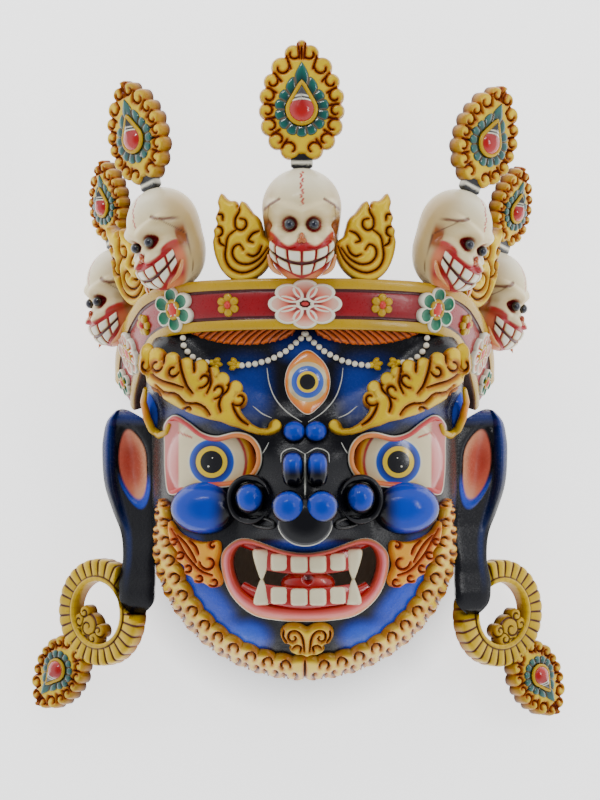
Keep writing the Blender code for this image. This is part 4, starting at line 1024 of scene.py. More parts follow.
@dataclass
class Eyes:
    """The two glaring eyes: iris rings, the white, its coloured corners and the rolled lids."""

    pupil: float = 11.3 * MM
    yellow: float = 15.8 * MM
    iris: float = 22.6 * MM
    bulge: float = 13.0 * MM
    bulge_reach: float = 45.0 * MM
    floor: float = -9.0 * MM
    lid: float = 3.5 * MM
    around: int = 160

    def plate(self) -> Surface:
        """Rings round the iris out to the opening; height = bulge*sqrt(1 - (r/reach)^2) over a floor."""
        angles = full_turn(self.around)
        middle = np.array(EYE_MIDDLE) * MM
        opening = reach_of_loop(closed_curve(EYE_OPENING, 400) * MM, middle, angles) + 1.2 * MM
        inner = [0.35 * self.pupil, 0.7 * self.pupil, self.pupil - 0.3 * MM, self.pupil + 0.3 * MM,
                 self.yellow - 0.3 * MM, self.yellow + 0.3 * MM, 0.9 * self.iris, self.iris - 0.6 * MM,
                 self.iris + 0.4 * MM]
        colours = [BLACK, BLACK, BLACK, (0.85, 0.58, 0.02), (0.85, 0.58, 0.02), NAVY, ROYAL, IRIS,
                   (0.78, 0.72, 0.52)]
        reaches = [np.full_like(angles, r) for r in inner]
        shares = np.linspace(0.08, 1.0, 26)
        reaches += [inner[-1] + (opening - inner[-1]) * share for share in shares]
        reach = np.minimum(np.stack(reaches), opening)
        x, y = polar(reach, angles, *middle)
        base = FORM.over(*middle)
        ground = 0.55 * FORM.height(x, y) + 0.45 * base
        dome = self.bulge * np.sqrt(within(1.0 - (reach / self.bulge_reach) ** 2))
        z = ground + self.floor + dome
        rest = slice(len(inner), None)
        paint = np.empty(z.shape + (3,))
        paint[: len(inner)] = np.asarray(colours)[:, None, :]
        paint[rest] = self.white_paint(x[rest] / MM, y[rest] / MM)
        under = points_of(x[-1], y[-1], z[-1] - 6.0 * MM)[None]
        rings = np.concatenate([points_of(x, y, z), under])
        colours = np.concatenate([paint, paint[-1:]])
        peak = (middle[0], middle[1], base + self.floor + self.bulge)
        foot = (middle[0], middle[1], base + self.floor - 6.0 * MM)
        return ringed(rings, colours, peak, foot)

    def white_paint(self, x: Array, y: Array) -> Array:
        """The white of the eye: orange nose corner, ochre foot, red veins and pink outer corner, in MM."""
        ring = np.hypot(x - EYE_MIDDLE[0], 0.92 * (y - EYE_MIDDLE[1]))
        amber = blend((0.9, 0.5, 0.02), (0.8, 0.13, 0.002), ramp(ring, 36, 43))
        arc = np.abs(ring - 34.5) + 4 * ramp(x, 78, 86)
        vein = np.abs(y - (44 + 0.35 * (x - 118))) + 4 * ramp(np.abs(x - 122), 8, 12)
        # The pink outer corner darkens towards its foot: painted shade.
        flesh = blend((0.7, 0.22, 0.2), (0.55, 0.06, 0.05), ramp(-y, -40, 20))
        return coats(
            CREAM,
            (amber, ramp(ring, 34.0, 36.5) * ramp(-x, -84, -76)),
            (SCARLET, 0.95 * (1.0 - ramp(arc, 0.9, 2.0))),
            ((0.85, 0.55, 0.12), 0.8 * ramp(-y, -4, 4) * ramp(-x, -118, -108)),
            (SCARLET, 0.9 * (1.0 - ramp(vein, 0.5, 1.6))),
            (flesh, ramp(x, 126.0, 128.0)),
        )

    def rim(self) -> Surface:
        """The rolled lid: a rod along the opening, rose inside, white on top, black outside."""
        loop = closed_curve(EYE_OPENING, 220) * MM
        z = FORM.height(loop[:, 0], loop[:, 1]) + 0.5 * MM
        line = np.concatenate([loop, z[:, None]], axis=1)
        turn = full_turn(18)
        across = np.cos(turn)
        paint = np.where((across > 0.7)[:, None], BLACK, ROSE)
        paint = np.where(((across > 0.36) & (across < 0.72) & (np.sin(turn) > 0))[:, None], WHITE, paint)
        inward = np.where((across < 0.3)[:, None], (0.78, 0.24, 0.04), paint)
        share = ramp(line[:, 0] / MM, 60, 100)[:, None, None]
        colours = inward[None] * (1 - share) + paint[None] * share
        return tube(line, self.lid, colours, 18, closed=True)

    def glints(self) -> Surface:
        """Small white glints painted on the pupil: painted highlights."""
        middle = np.array(EYE_MIDDLE) * MM
        base = FORM.over(*middle)
        z = base + self.floor + self.bulge
        spots = [shaded_ball((middle[0] + dx * MM, middle[1] + dy * MM, z), (r * MM, r * MM, 0.7 * MM),
                             WHITE, WHITE, rows=6, around=12)
                 for dx, dy, r in ((3.0, -4.5, 1.1), (-1.0, 4.0, 0.8))]
        return joined(spots)

    def make(self, shop: Workshop) -> None:
        """Both eyes and their lids."""
        for name, surface, finish in (("eye", self.plate(), EYE_PAINT), ("lid", self.rim(), ENAMEL),
                                      ("eye_glints", self.glints(), EYE_PAINT)):
            shop.pair(name, surface, finish)


@dataclass(frozen=True)
class Knob:
    """A round boss on the face, in MM: middle, radii, how far its middle stands over the face."""

    name: str
    x: float
    y: float
    rx: float
    ry: float
    rz: float
    lift: float
    # start and end: where the painted shade at the edges gives way to the painted light on top, in unit
    # heights
    start: float = 0.3
    end: float = 0.8
    square: bool = False


KNOBS = (
    Knob("glabella", 10.8, 48.5, 12.5, 11.5, 13.0, 6.0, start=0.45, end=0.75),
    Knob("bridge", 12.2, 12.0, 11.0, 17.5, 12.5, 15.0, start=0.42, end=0.78, square=True),
    Knob("nose_ball", 16.5, -25.0, 16.8, 16.8, 16.0, 18.8, start=0.42, end=0.68),
    Knob("nostril", 55.0, -17.5, 14.5, 15.5, 14.0, 20.0, start=0.42, end=0.74),
    Knob("cheek", 99.0, -28.5, 36.0, 27.0, 25.0, 3.0, start=0.1, end=0.55),
    Knob("temple_lobe", 152.5, 70.0, 13.5, 25.0, 14.0, -6.0, start=0.35, end=0.75),
)


@dataclass
class Knobs:
    """The round bosses of nose, brow and cheeks, and the curled rings of the nostrils."""

    ring_radius: float = 20.5 * MM
    ring_rod: float = 3.6 * MM

    def ball_of(self, knob: Knob) -> Surface:
        """One boss, its middle at the face's height plus its lift."""
        x, y = knob.x * MM, knob.y * MM
        reach = min(x, 0.93 * FORM.half_face)
        z = FORM.over(reach, y) + (knob.lift - 6.0) * MM
        radii = (knob.rx * MM, knob.ry * MM, knob.rz * MM)
        # Royal blue on top fading to black at the edges: painted light and shade.
        shape = shaded_ball((x, y, z), radii, ROYAL, BLACK, knob.start, knob.end)
        if knob.square:
            away = (shape.points - [x, y, z]) / radii
            plane = np.hypot(away[:, 0], away[:, 1])
            square = (np.abs(away[:, 0]) ** 2.8 + np.abs(away[:, 1]) ** 2.8) ** (1 / 2.8)
            widen = (plane / np.maximum(square, 1e-9))[:, None]
            shape.points[:, :2] = [x, y] + (shape.points[:, :2] - [x, y]) * widen
            # The square bridge is painted black towards its foot: painted shade.
            shape.paint = blend(shape.paint, BLACK, ramp(-away[:, 1], -0.45, 0.35))
        return shape

    def nostril_ring(self) -> Surface:
        """A black curled ring round the nostril's ball, open towards the mouth."""
        turn = np.linspace(math.radians(-150), math.radians(165), 90)
        x = 55.0 * MM + self.ring_radius * np.cos(turn) * 0.98
        y = -19.0 * MM + self.ring_radius * np.sin(turn) * 1.05
        share = np.linspace(0.0, 1.0, 90)
        radius = self.ring_rod * np.clip(np.sin(np.pi * share) * 1.9, 0.25, 1.0)
        z = FORM.height(x, y) + 4.0 * MM + 5.0 * MM * np.sin(np.pi * share)
        curl = tube(points_of(x, y, z), radius, BLACK, 16)
        turn = full_turn(60)
        x, y = 42.5 * MM + 12.0 * MM * np.cos(turn), -41.5 * MM + 5.0 * MM * np.sin(turn + 0.35)
        line = points_of(x, y, FORM.height(x, y) + 1.0 * MM)
        slot = tube(line, 1.9 * MM, (0.012, 0.012, 0.012), 12, closed=True)
        return joined([curl, slot])

    def nose_under(self) -> Surface:
        """The black underside of the nose, behind and below its two balls, with a white line round it."""
        x, y = 0.0, -39.5 * MM
        z = FORM.over(x, y) + 3.0 * MM
        radii = (28 * MM, 24.5 * MM, 14 * MM)
        surface = ball((x, y, z), radii, 40, 60)
        surface.paint = paint_of(BLACK, surface.points)
        turn = np.radians(np.linspace(-172, -8, 80))
        share = 0.955
        lift = radii[2] * math.sqrt(1.0 - share**2)
        line = points_of(x + radii[0] * share * np.cos(turn), y + radii[1] * share * np.sin(turn), z + lift)
        thick = 0.9 * MM * (0.4 + 0.6 * np.sin(np.pi * np.linspace(0.0, 1.0, 80)) ** 0.5)
        return joined([surface, tube(line, thick, (0.62, 0.62, 0.56), 8)])

    def make(self, shop: Workshop) -> None:
        """Every boss on both sides."""
        for knob in KNOBS:
            shape = self.ball_of(knob)
            if knob.name == "cheek":
                side = (shape.points[:, 0] / MM - knob.x) / knob.rx
                shape.paint = blend(shape.paint, BLACK, 1.0 - ramp(side, -0.55, -0.05))
            shop.pair(knob.name, shape, BOSS)
        ring = self.nostril_ring()
        shop.piece("nostril_rings", joined([ring, ring.mirrored()]), BOSS)
        shop.piece("nose_under", self.nose_under(), BOSS)


@dataclass
class ThirdEye:
    """The upright eye of the forehead, in rings of paint on one low boss."""

    x: float = 2.5 * MM
    y: float = 98.0 * MM
    half_width: float = 22.8 * MM
    up: float = 32.0 * MM
    down: float = 32.5 * MM
    rise: float = 7.0 * MM
    bulge: float = 7.0 * MM

    def outline(self, angles: Array) -> Array:
        """Reach of an oval with a pointed foot and head: r = a*b/sqrt(..) plus a cusp up and down."""
        up, height = np.sin(angles), 28.5 * MM
        oval = self.half_width * height / np.hypot(height * np.cos(angles), self.half_width * up)
        return oval + (np.where(up > 0, self.up, self.down) - height) * np.abs(up) ** 24

    def surface(self) -> Surface:
        """Rings of fixed radius for pupil, yellow and blue, then shares out to the outline."""
        angles = full_turn(160)
        edge = self.outline(angles)
        e = 0.3 * MM
        radii = [3.5, 7.0, 7.6, 8.2, 10.4, 11.0, 15.8, 16.4]
        colours = [BLACK, BLACK, BLACK, (0.85, 0.58, 0.02), (0.85, 0.58, 0.02), ROYAL, IRIS, CREAM]
        reach = [np.full_like(angles, r * MM) for r in radii]
        white = np.minimum(20.0 * MM, 0.84 * edge)
        reach += [white - e, white + e, 0.92 * edge, 0.965 * edge, 0.985 * edge, edge, edge * 1.01]
        colours += [CREAM, (0.84, 0.34, 0.04), ORANGE, ORANGE, WHITE, WHITE, BLACK]
        reach = np.stack(reach)
        x, y = polar(reach, angles, self.x, self.y)
        share = reach / edge
        dome = self.bulge * np.sqrt(np.clip(1.0 - (reach / (19 * MM)) ** 2, 0.0, 1.0))
        z = FORM.height(x, y) + self.rise * within(1.35 - share**6) * 0.6 + dome
        z[-1] = FORM.height(x[-1], y[-1]) - 3.0 * MM
        paint = np.broadcast_to(np.asarray(colours)[:, None, :], z.shape + (3,))
        base = FORM.over(self.x, self.y)
        peak = (self.x, self.y, base + self.rise * 0.6 + self.bulge)
        return ringed(points_of(x, y, z), paint, peak, (self.x, self.y, base - 3.0 * MM))

    def make(self, shop: Workshop) -> None:
        """The eye."""
        shop.piece("third_eye", self.surface().outwards(), EYE_PAINT)


@dataclass
class Mouth:
    """The snarling mouth: rolled lips, gums, two rows of teeth with fangs, and the tongue."""

    lip_rise: float = 9.0 * MM
    lip_depth: float = 22.0 * MM
    around: int = 200
    teeth_x: Row = (-25.5, -5.8, 12.6, 31.8)
    tooth_half: float = 9.1
    fang_x: Row = (-43.0, 48.0)

    def lips(self) -> Surface:
        """Outer loop to inner loop: height = face + rise*sin(pi s)^0.7, then down into the mouth."""
        outer, inner = whole_loop(LIPS_OUTER, self.around), whole_loop(LIPS_INNER, self.around)
        share = np.concatenate([[-0.06, 0.0, 0.035, 0.07], np.linspace(0.1, 1.0, 20), [1.0, 1.0]])
        loops = outer[None] + (inner - outer)[None] * share[:, None, None]
        ground = FORM.height(loops[..., 0], loops[..., 1])
        roll = np.sin(np.pi * within(share)) ** 0.7
        z = ground + self.lip_rise * roll[:, None]
        z[0] = ground[0] - 4.0 * MM
        sink = ramp(share, 0.72, 1.0)[:, None] * 6.0 * MM
        z = z - sink
        z[-2] -= 0.5 * self.lip_depth
        z[-1] -= self.lip_depth
        rings = points_of(loops[..., 0], loops[..., 1], z)
        low = rings[-1] + (outer - inner)[:, None].reshape(-1, 1, 2)[:, 0] @ np.eye(2, 3) * 0.5
        rings = np.concatenate([rings, low[None]])
        share = np.concatenate([share, [1.2]])
        x, y = rings[..., 0] / MM, rings[..., 1] / MM
        s = share[:, None]
        paint = coats(
            (0.8, 0.27, 0.1),
            ((0.62, 0.07, 0.06), ramp(s, 0.1, 0.45) + 0 * x),
            ((0.55, 0.04, 0.02), ramp(s, 0.45, 0.85) + 0 * x),
            # A paler band along the middle of the lower lip: painted highlight.
            ((0.68, 0.11, 0.085), bump((s - 0.34) / 0.26) * ramp(-y, 116, 132)),
            ((0.62, 0.12, 0.14), bump((s - 0.36) / 0.3) * ramp(np.abs(x - 3), 52, 74)),
            (MAROON, ramp(s, 0.9, 1.02) + 0 * x),
        )
        white = (s > -0.03) & (s < 0.055)
        paint = np.where(white[..., None], WHITE, paint)
        paint[0] = BLACK
        return ringed(rings, paint, wrap=True)

    def tooth(self, x: float, y: float, half_width: float, half_height: float, tip: float) -> Surface:
        """One tooth: a rounded block, narrower towards its tip, which points down for tip below 0."""
        z = FORM.over(x * MM, -95.0 * MM) - 4.0 * MM - 0.0012 * x * x * MM
        surface = block(np.eye(4), (half_width * MM, half_height * MM, 9.0 * MM), 5.0, 26, 15)
        share = surface.points[:, 1] / (half_height * MM)
        if abs(tip) > 1.0:
            narrow = 1.0 - 0.86 * np.clip((share * np.sign(tip) + 1.0) / 2.0, 0.0, 1.0) ** 1.3
            surface.points[:, 0] *= narrow
        gum = ramp(-share * np.sign(tip), 0.88, 0.99)
        # The tooth is painted paler on its front and yellower towards its sides and back: painted light and
        # shade.
        front = ramp(surface.points[:, 2] / MM, 2, 8)
        paint = blend((0.7, 0.56, 0.26), (0.86, 0.78, 0.52), front)
        edge = ramp(np.abs(surface.points[:, 0]) / (half_width * MM), 0.86, 0.99) * (abs(tip) <= 1.0)
        surface.paint = blend(paint, SCARLET, np.maximum(gum, edge))
        surface.points += np.array([x * MM, y * MM, z])
        return surface

    def teeth(self) -> Surface:
        """Four teeth and two fangs above, and the same below."""
        parts = []
        for x in self.teeth_x:
            arch = 0.0022 * (x - 3.0) ** 2
            parts.append(self.tooth(x, -82.5 + arch, self.tooth_half, 9.2, -1.0))
            parts.append(self.tooth(x, -115.5 + 0.8 * arch, self.tooth_half, 8.8, 1.0))
        for x in self.fang_x:
            parts.append(self.tooth(x, -83.0, 10.5, 16.0, -1.5))
            parts.append(self.tooth(x, -111.0, 9.5, 13.5, 1.5))
        return joined(parts)

    def gums(self) -> Surface:
        """Two red bars behind the teeth, and a red sheet behind each row that shows between them."""
        parts = []
        for middle, bow, half in ((-82.5, 0.0022, 10.5), (-115.5, 0.0018, 9.5)):
            x = np.linspace(-40.0, 45.0, 60)[:, None]
            turn = full_turn(24)[None, :]
            z = np.array([[FORM.over(v * MM, -95.0 * MM) / MM] for v in x[:, 0]]) - 0.0012 * x * x + 0.6
            y = middle + bow * (x - 3.0) ** 2 + half * np.cos(turn)
            sheet = points_of(x * MM, y * MM, (z + 2.2 * np.sin(turn)) * MM)
            parts.append(ringed(sheet, paint_of((0.42, 0.004, 0.002), sheet), sheet[0].mean(axis=0),
                                sheet[-1].mean(axis=0)).outwards())
        for top, bow in ((-72.5, 0.003), (-123.0, 0.0042)):
            x = np.linspace(-62.0, 62.0, 60)
            y = top + bow * x**2
            z = np.array([FORM.over(v * MM, -95.0 * MM) / MM for v in x]) - 9.0
            line = np.stack([x, y, z], axis=1) * MM
            parts.append(tube(line, 6.0 * MM, SCARLET, 14))
        return joined(parts)

    def tongue(self) -> Surface:
        """A low red tongue with a hollow down its middle, rooted behind the lower teeth."""
        z = FORM.over(0.0 * MM, -98.0 * MM) - 15.0 * MM
        surface = ball((3 * MM, -103.0 * MM, z), (27 * MM, 15 * MM, 12 * MM), 40, 60)
        x = (surface.points[:, 0] - 3 * MM) / MM
        y = surface.points[:, 1] / MM
        up = surface.points[:, 2] > z
        surface.points[:, 2] -= up * 3.5 * MM * bump(np.hypot(x / 8.0, (y + 98) / 8.0))
        dark = bump(np.hypot(x / 7.0, (y + 97) / 6.0))
        surface.paint = blend(blend(paint_of(SCARLET, surface.points), MAROON, dark),
                              (0.75, 0.1, 0.08), bump(np.hypot((x - 12) / 10, (y + 98) / 6)))
        return surface

    def make(self, shop: Workshop) -> None:
        """Lips, gums, teeth and tongue."""
        shop.piece("lips", self.lips().outwards(), ENAMEL)
        shop.piece("gums", self.gums(), JEWEL_PAINT)
        shop.piece("teeth", self.teeth(), ENAMEL)
        shop.piece("tongue", self.tongue(), JEWEL_PAINT)


# The brow on the right half, in MM: its outline as discs, its curled cuts and its long cuts
BROW_LOBES = (
    (157.5, 125.5, 8), (160, 115, 6.5), (144.5, 123, 7.5), (131, 118, 7.5), (118.5, 112.5, 7.5),
    (105, 110, 8), (93, 105, 6.5), (90.5, 110.5, 3.5), (84, 98, 8), (70, 90, 8), (65.5, 78.5, 8),
    (150, 116, 9), (138, 110, 10), (124, 104, 10), (77, 84, 8),
)
BROW_SPINE = (
    (30, 53.5, 6.6), (33.5, 49.5, 4.6), (39, 48, 3.3), (46, 48.8, 3.2), (54, 52, 4.0), (62, 57, 5.4),
    (70, 62, 8), (77, 70, 12), (87, 77, 16), (98, 84, 18.5), (110, 90, 18.5), (122, 96, 17.5),
    (134, 102, 15.5), (145, 108, 12.5), (154, 114, 9), (160, 119, 6),
)
BROW_COMMAS = (
    (160, 117, 5.6, 60, -1), (143, 115.5, 5.6, 100, -1), (128.5, 109.5, 5.4, 100, -1),
    (102, 98.5, 6.4, 30, 1), (88.5, 87.5, 6.6, 20, 1), (66.5, 78, 7.0, 70, 1),
    (111.5, 73.5, 6.2, 150, -1), (143.5, 88.5, 5.2, 150, -1),
)
BROW_CUTS = (
    ((151, 128), (150.5, 118), (147, 109), (139, 103), (128, 99), (118, 95)),
    ((137.5, 124), (137, 116)),
    ((125, 120), (122.5, 111), (119, 103), (114.5, 95), (109, 89)),
    ((112, 116), (110.5, 106)),
    ((98.5, 113), (97, 104), (95, 95), (97, 87)),
    ((77, 94), (79, 87), (84, 82), (85, 76), (82, 68)),
    ((143, 99), (135, 92), (125, 90.5), (114, 81), (104, 79.5), (95, 73), (91, 67)),
    ((157, 106), (150, 98), (141, 93), (137, 84)),
    ((73, 74), (69, 66), (63, 59), (56, 54.5)),
)
# The crescent under a cheek
CRESCENT_LINE = (
    (134, -42), (125, -53), (112, -59.5), (99, -62), (85.5, -60.5), (83, -70), (86, -85), (81.5, -97),
    (83, -105), (92, -107.5), (99, -103.5), (108, -103.5), (111, -98), (119, -94), (119.5, -87), (127, -81),
    (126.5, -73), (133, -64), (135.5, -51),
)
CRESCENT_COMMAS = (
    (94, -82, 8.5, 100, 1), (88.5, -101, 4.6, 60, 1), (103, -97.5, 4.2, 60, 1), (114.5, -88, 4.4, 40, 1),
    (122.5, -75, 4.4, 40, 1), (129, -62, 3.8, 40, 1), (90, -65.5, 3.8, 200, 1),
)
CRESCENT_CUTS = (
    ((131, -50), (124, -62), (118, -73), (110, -83), (101, -91), (90, -94.5)),
    ((125, -56), (117, -64), (111, -73), (106, -82)),
    ((113, -61), (107, -67), (104, -74)),
)
# The chin's ornament, half of it, from its own middle
CHIN_LINE = (
    (0, -146), (6, -143), (13, -141.8), (20, -143), (25.5, -147.5), (26.8, -154), (23, -161), (16.5, -163.5),
    (17.5, -169), (11, -173.5), (5, -174), (0, -176),
)
CHIN_CUTS = (
    ((2.6, -169), (3.6, -160), (5.5, -152.5), (10, -147.8), (15.5, -148), (18.3, -152.5), (17, -157.5),
     (13, -158.5), (10.5, -155.5), (12, -153)),
    ((14, -166), (9.5, -163), (6, -165), (6.5, -169.5)),
    ((22.5, -147), (23.5, -153), (19.5, -160)),
)


@dataclass
class FaceGold:
    """Gold flamework on the face: brows, cheek crescents, the chin's ornament and the beard."""

    step: float = 0.72 * MM
    beard_radius: float = 0.155
    beard_level: float = 0.878
    beard_half_turn: float = 1.8
    beard_pitch: float = 21.0 * MM
    chin_shift: float = 2.0 * MM

    def both(self, strokes: Sequence[Array]) -> list[Array]:
        """Strokes and their mirror images."""
        return list(strokes) + [stroke * [-1.0, 1.0] for stroke in strokes]

    def brow(self) -> Surface:
        """The flame brow, a leaf with curling lobes that runs into a clubbed tendril."""
        spine = resampled(np.array(BROW_SPINE), 70)
        discs = [(x * MM, y * MM, r * MM) for x, y, r in BROW_LOBES] + [tuple(row * MM) for row in spine]
        flame = Flame(board=7.0 * MM, puff=3.0 * MM, glow=0.45)
        return carved_plate((18 * MM, 38 * MM), (170 * MM, 136 * MM), self.step, by_discs(discs),
                            flame.relief(cuts_of(BROW_COMMAS, BROW_CUTS)), FORM.on, 6.0 * MM)

    def crescent(self) -> Surface:
        """The scrolled crescent under a cheek, oranger than the rest."""
        loop = closed_curve(CRESCENT_LINE, 110) * MM
        # The crescent's dark orange next to its cuts is painted shade.
        flame = Flame(board=3.5 * MM, puff=3.4 * MM, bright=(0.78, 0.34, 0.008), shade_colour=(0.5, 0.1, 0.008),
                      dark=(0.2, 0.015, 0.006), glow=0.8)
        return carved_plate((78 * MM, -112 * MM), (140 * MM, -38 * MM), self.step, by_loop(loop),
                            flame.relief(cuts_of(CRESCENT_COMMAS, CRESCENT_CUTS)), FORM.on, 4.0 * MM)

    def chin(self) -> Surface:
        """The ornament of the chin: two C scrolls back to back over smaller ones."""
        loop = whole_loop(CHIN_LINE, 110)
        strokes = self.both([smooth_line(line, 20) for line in CHIN_CUTS])

        def carrier(u: Array, v: Array) -> Array:
            """The face, shifted a little across."""
            return FORM.on(u + self.chin_shift, v)

        flame = Flame(board=4.0 * MM, puff=3.0 * MM, glow=0.45)
        return carved_plate((-30 * MM, -180 * MM), (30 * MM, -138 * MM), self.step, by_loop(loop),
                            flame.relief(strokes), carrier, 4.0 * MM)

    def beard(self) -> Surface:
        """Flames along the jaw; u runs round it and v outwards, both flat to the eye from the front."""
        half = self.beard_half_turn * self.beard_radius / MM
        pitch = self.beard_pitch / MM
        strokes = []
        for k in range(int(half / pitch)):
            u = (k + 0.62) * pitch
            size = 1.0 - 0.45 * float(ramp(np.array(u), 0.72 * half, half))
            strokes += [
                comma(u, 4.4 * size, 7.6 * size, 250, -1, 0.7),
                comma(u + 0.5 * pitch, -5.4 * size, 6.8 * size, 60, -1, 0.66),
                smooth_line([(u + a * pitch, v * size) for a, v in ((0.34, 14), (0.32, 7), (0.5, 3))], 8),
            ]
        strokes = self.both(strokes)
        strokes.append(smooth_line(((0, 13), (0, 5), (0, -12)), 8))

        def outline(u: Array, v: Array) -> Array:
            """Distance outside a strip whose edges are scalloped |cos| and whose ends narrow."""
            away = np.abs(u) / MM
            end = 1.0 - 0.5 * ramp(away, 0.7 * half, 0.97 * half)
            phase = (away / pitch - 0.12) * math.pi
            outer = (9.2 + 3.4 * np.abs(np.sin(phase)) ** 0.7) * end
            inner = (-12.2 - 2.4 * np.abs(np.sin(phase + 1.2)) ** 0.7) * end
            middle, width = (outer + inner) / 2, (outer - inner) / 2
            past = np.clip((away - half + 6.0) / 6.0, 0.0, 2.0)
            return (np.abs(v / MM - middle) - width * np.sqrt(within(1.0 - past**2)) + past) * MM

        def carrier(u: Array, v: Array) -> Array:
            """Point of the dome at a turn from straight down, out from the beard's middle level."""
            angles = u / self.beard_radius - math.pi / 2
            level = np.clip(self.beard_level + v / self.beard_radius, 0.5, 0.985)
            reach = FORM.reach(angles, level)
            x, y = polar(reach, angles, 0.0, FORM.cheek_line)
            return points_of(x, y, FORM.height(x, y))

        low = (-(half + 3) * MM, -17 * MM)
        flame = Flame(board=3.6 * MM, puff=3.4 * MM, cut=1.5 * MM, line=1.5 * MM, glow=0.5)
        return carved_plate(low, (-low[0], 17 * MM), 0.85 * MM, outline, flame.relief(strokes), carrier,
                            4.0 * MM)

    def temple_trim(self) -> Surface:
        """The curled gold edge below and behind a temple's blue lobe."""
        line = np.array([(161, 92), (164, 78), (161, 62), (156, 50), (148, 44), (140, 47), (137, 56)], float)
        fine = resampled(line, 60)
        x, y = fine[:, 0] * MM, fine[:, 1] * MM
        z = FORM.on(x, y)[:, 2] + 6.0 * MM
        share = np.linspace(0.0, 1.0, 60)
        radius = MM * (1.6 + 2.6 * np.sin(np.pi * share) ** 0.6)
        paint = blend(GOLD, ORANGE, 0.6 * bump((share - 0.3) / 0.3))[:, None, :]
        return tube(np.stack([x, y, z], axis=1), radius, paint, 12)

    def make(self, shop: Workshop) -> None:
        """All the gold of the face."""
        for name, shape in (("brow", self.brow()), ("cheek_scroll", self.crescent()),
                            ("temple_trim", self.temple_trim())):
            shop.pair(name, shape, GILT)
        shop.piece("chin_scroll", self.chin(), GILT)
        shop.piece("beard", self.beard(), GILT)


@dataclass
class Forelock:
    """Combed hair under the crown, strings of beads with bell flowers, and thin painted lines."""

    bead: float = 3.1 * MM
    bead_lift: float = 2.6 * MM

    def hair(self) -> Surface:
        """A strip of locks: ribs lean outwards, and height falls off towards the lower edge."""
        low, high = (8 * MM, 128 * MM), (119 * MM, 152 * MM)

        def outline(u: Array, v: Array) -> Array:
            """A lens between a straight top and a sagging lower edge, in MM."""
            x, y = u / MM, v / MM
            share = (x - 10) / 108
            lower = 148.0 - 15.0 * np.clip(np.sin(np.pi * within(share)) ** 0.55, 0, 1) + 3.0 * share
            lower = lower + 0.9 * np.abs(np.sin((x - 0.5 * y) / 2.1))
            return np.maximum(np.maximum(lower - y, y - 151), np.maximum(10 - x, x - 118)) * MM * 0.9

        def relief(u: Array, v: Array, away: Array) -> tuple[Array, Array]:
            """Ribs |cos| along slanted lines, dark in their grooves."""
            x, y = u / MM, v / MM
            phase = (x + 0.95 * (y - 140) + 0.03 * (y - 140) ** 2) / 7.6
            rib = np.abs(np.cos(np.pi * phase)) ** 0.6
            height = MM * (1.5 + 2.6 * rib) * np.sqrt(np.clip(-away / (1.8 * MM), 0.05, 1.0))
            # The lighter strands show only on the ribs' tops: partly painted strands, partly painted
            # highlight.
            strand = 0.5 + 0.5 * np.cos(2 * np.pi * phase * 4.0)
            paint = blend(HAIR_ORANGE, (0.9, 0.2, 0.01), 0.75 * rib * strand)
            return height, blend(paint, UMBER, 1.0 - ramp(rib, 0.42, 0.66))

        return carved_plate(low, high, 0.8 * MM, outline, relief, FORM.on, 3.0 * MM)

    def string(self, line: Table) -> list[Surface]:
        """Beads along a curve on the face, a bead's width apart."""
        fine = resampled(np.asarray(line, float) * MM, 200)
        length = np.linalg.norm(np.diff(fine, axis=0), axis=1).sum()
        places = resampled(fine, max(2, int(length / (1.9 * self.bead))))
        z = FORM.on(places[:, 0], places[:, 1])[:, 2] + self.bead_lift
        # Each bead is white on top and brown at its edges: painted light and shade.
        return [
            shaded_ball((x, y, h), [self.bead] * 3, WHITE, (0.55, 0.42, 0.25), -0.1, 0.5, 9, 14)
            for (x, y), h in zip(places, z)
        ]

    def bell(self, x: float, y: float, turn: float) -> Surface:
        """A bell flower of three petals and a calyx, pointing along turn in degrees."""
        middle = np.array([x * MM, y * MM])
        z = float(FORM.on(np.full(1, middle[0]), np.full(1, middle[1]))[0, 2]) + 2.5 * MM
        parts = []
        for off, size in ((-0.65, 1.0), (0.0, 1.15), (0.65, 1.0)):
            angle = math.radians(turn) + off
            share = np.linspace(0.0, 1.0, 14)
            line = np.stack([middle[0] + 9.5 * MM * size * share * math.cos(angle),
                             middle[1] + 9.5 * MM * size * share * math.sin(angle),
                             z + 2.0 * MM * np.sin(np.pi * share)], axis=1)
            parts.append(tube(line, MM * (0.6 + 2.3 * np.sin(np.pi * share**1.4) ** 0.8),
                              GOLD, 10))
        # The calyx is pale gold on top and umber at its edges: painted highlight and shade.
        parts.append(shaded_ball((middle[0], middle[1], z), (3.4 * MM, 3.4 * MM, 3.0 * MM), HIGHLIGHT_GOLD, UMBER,
                                 -0.4, 0.4, 12, 18))
        return joined(parts)

    def thread(self, line: Table) -> Surface:
        """A thin white painted line, as a low bead of paint on the face."""
        fine = resampled(smooth_line(line, 160), 90)
        z = FORM.on(fine[:, 0], fine[:, 1])[:, 2] + 0.15 * MM
        share = np.linspace(0.0, 1.0, 90)
        thick = 0.6 * MM * (0.35 + 0.65 * np.sin(np.pi * share) ** 0.5)
        return tube(np.stack([fine[:, 0], fine[:, 1], z], axis=1), thick, (0.62, 0.62, 0.56), 8)

    def make(self, shop: Workshop) -> None:
        """Hair, beads, bells and lines on both sides."""
        shop.pair("hair", self.hair(), HAIR_PAINT)
        inner = [(-1, 146), (8, 138), (20, 128), (35, 120), (50, 116), (63, 114.5)]
        outer = [(122, 142), (121, 133), (114, 124), (105, 119), (98, 117.5)]
        shop.pair("beads", joined(self.string(inner) + self.string(outer)), ENAMEL)
        bells = joined([self.bell(67, 115, 10), self.bell(93, 117, 190)])
        shop.pair("bells", bells, GILT)
        lines = [
            [(38, 112), (36, 98), (30, 82), (18, 68), (3, 58)],
            [(52, 74), (42, 66), (33, 62)],
            [(46, 22), (39, 32), (36, 38)],
            [(24, 18), (23, 27), (12, 32), (1, 27)],
            [(0.4, 27), (0.4, 10), (0.4, -14)],
        ]
        shop.pair("painted_lines", joined([self.thread(line) for line in lines]), ENAMEL)


# The crown

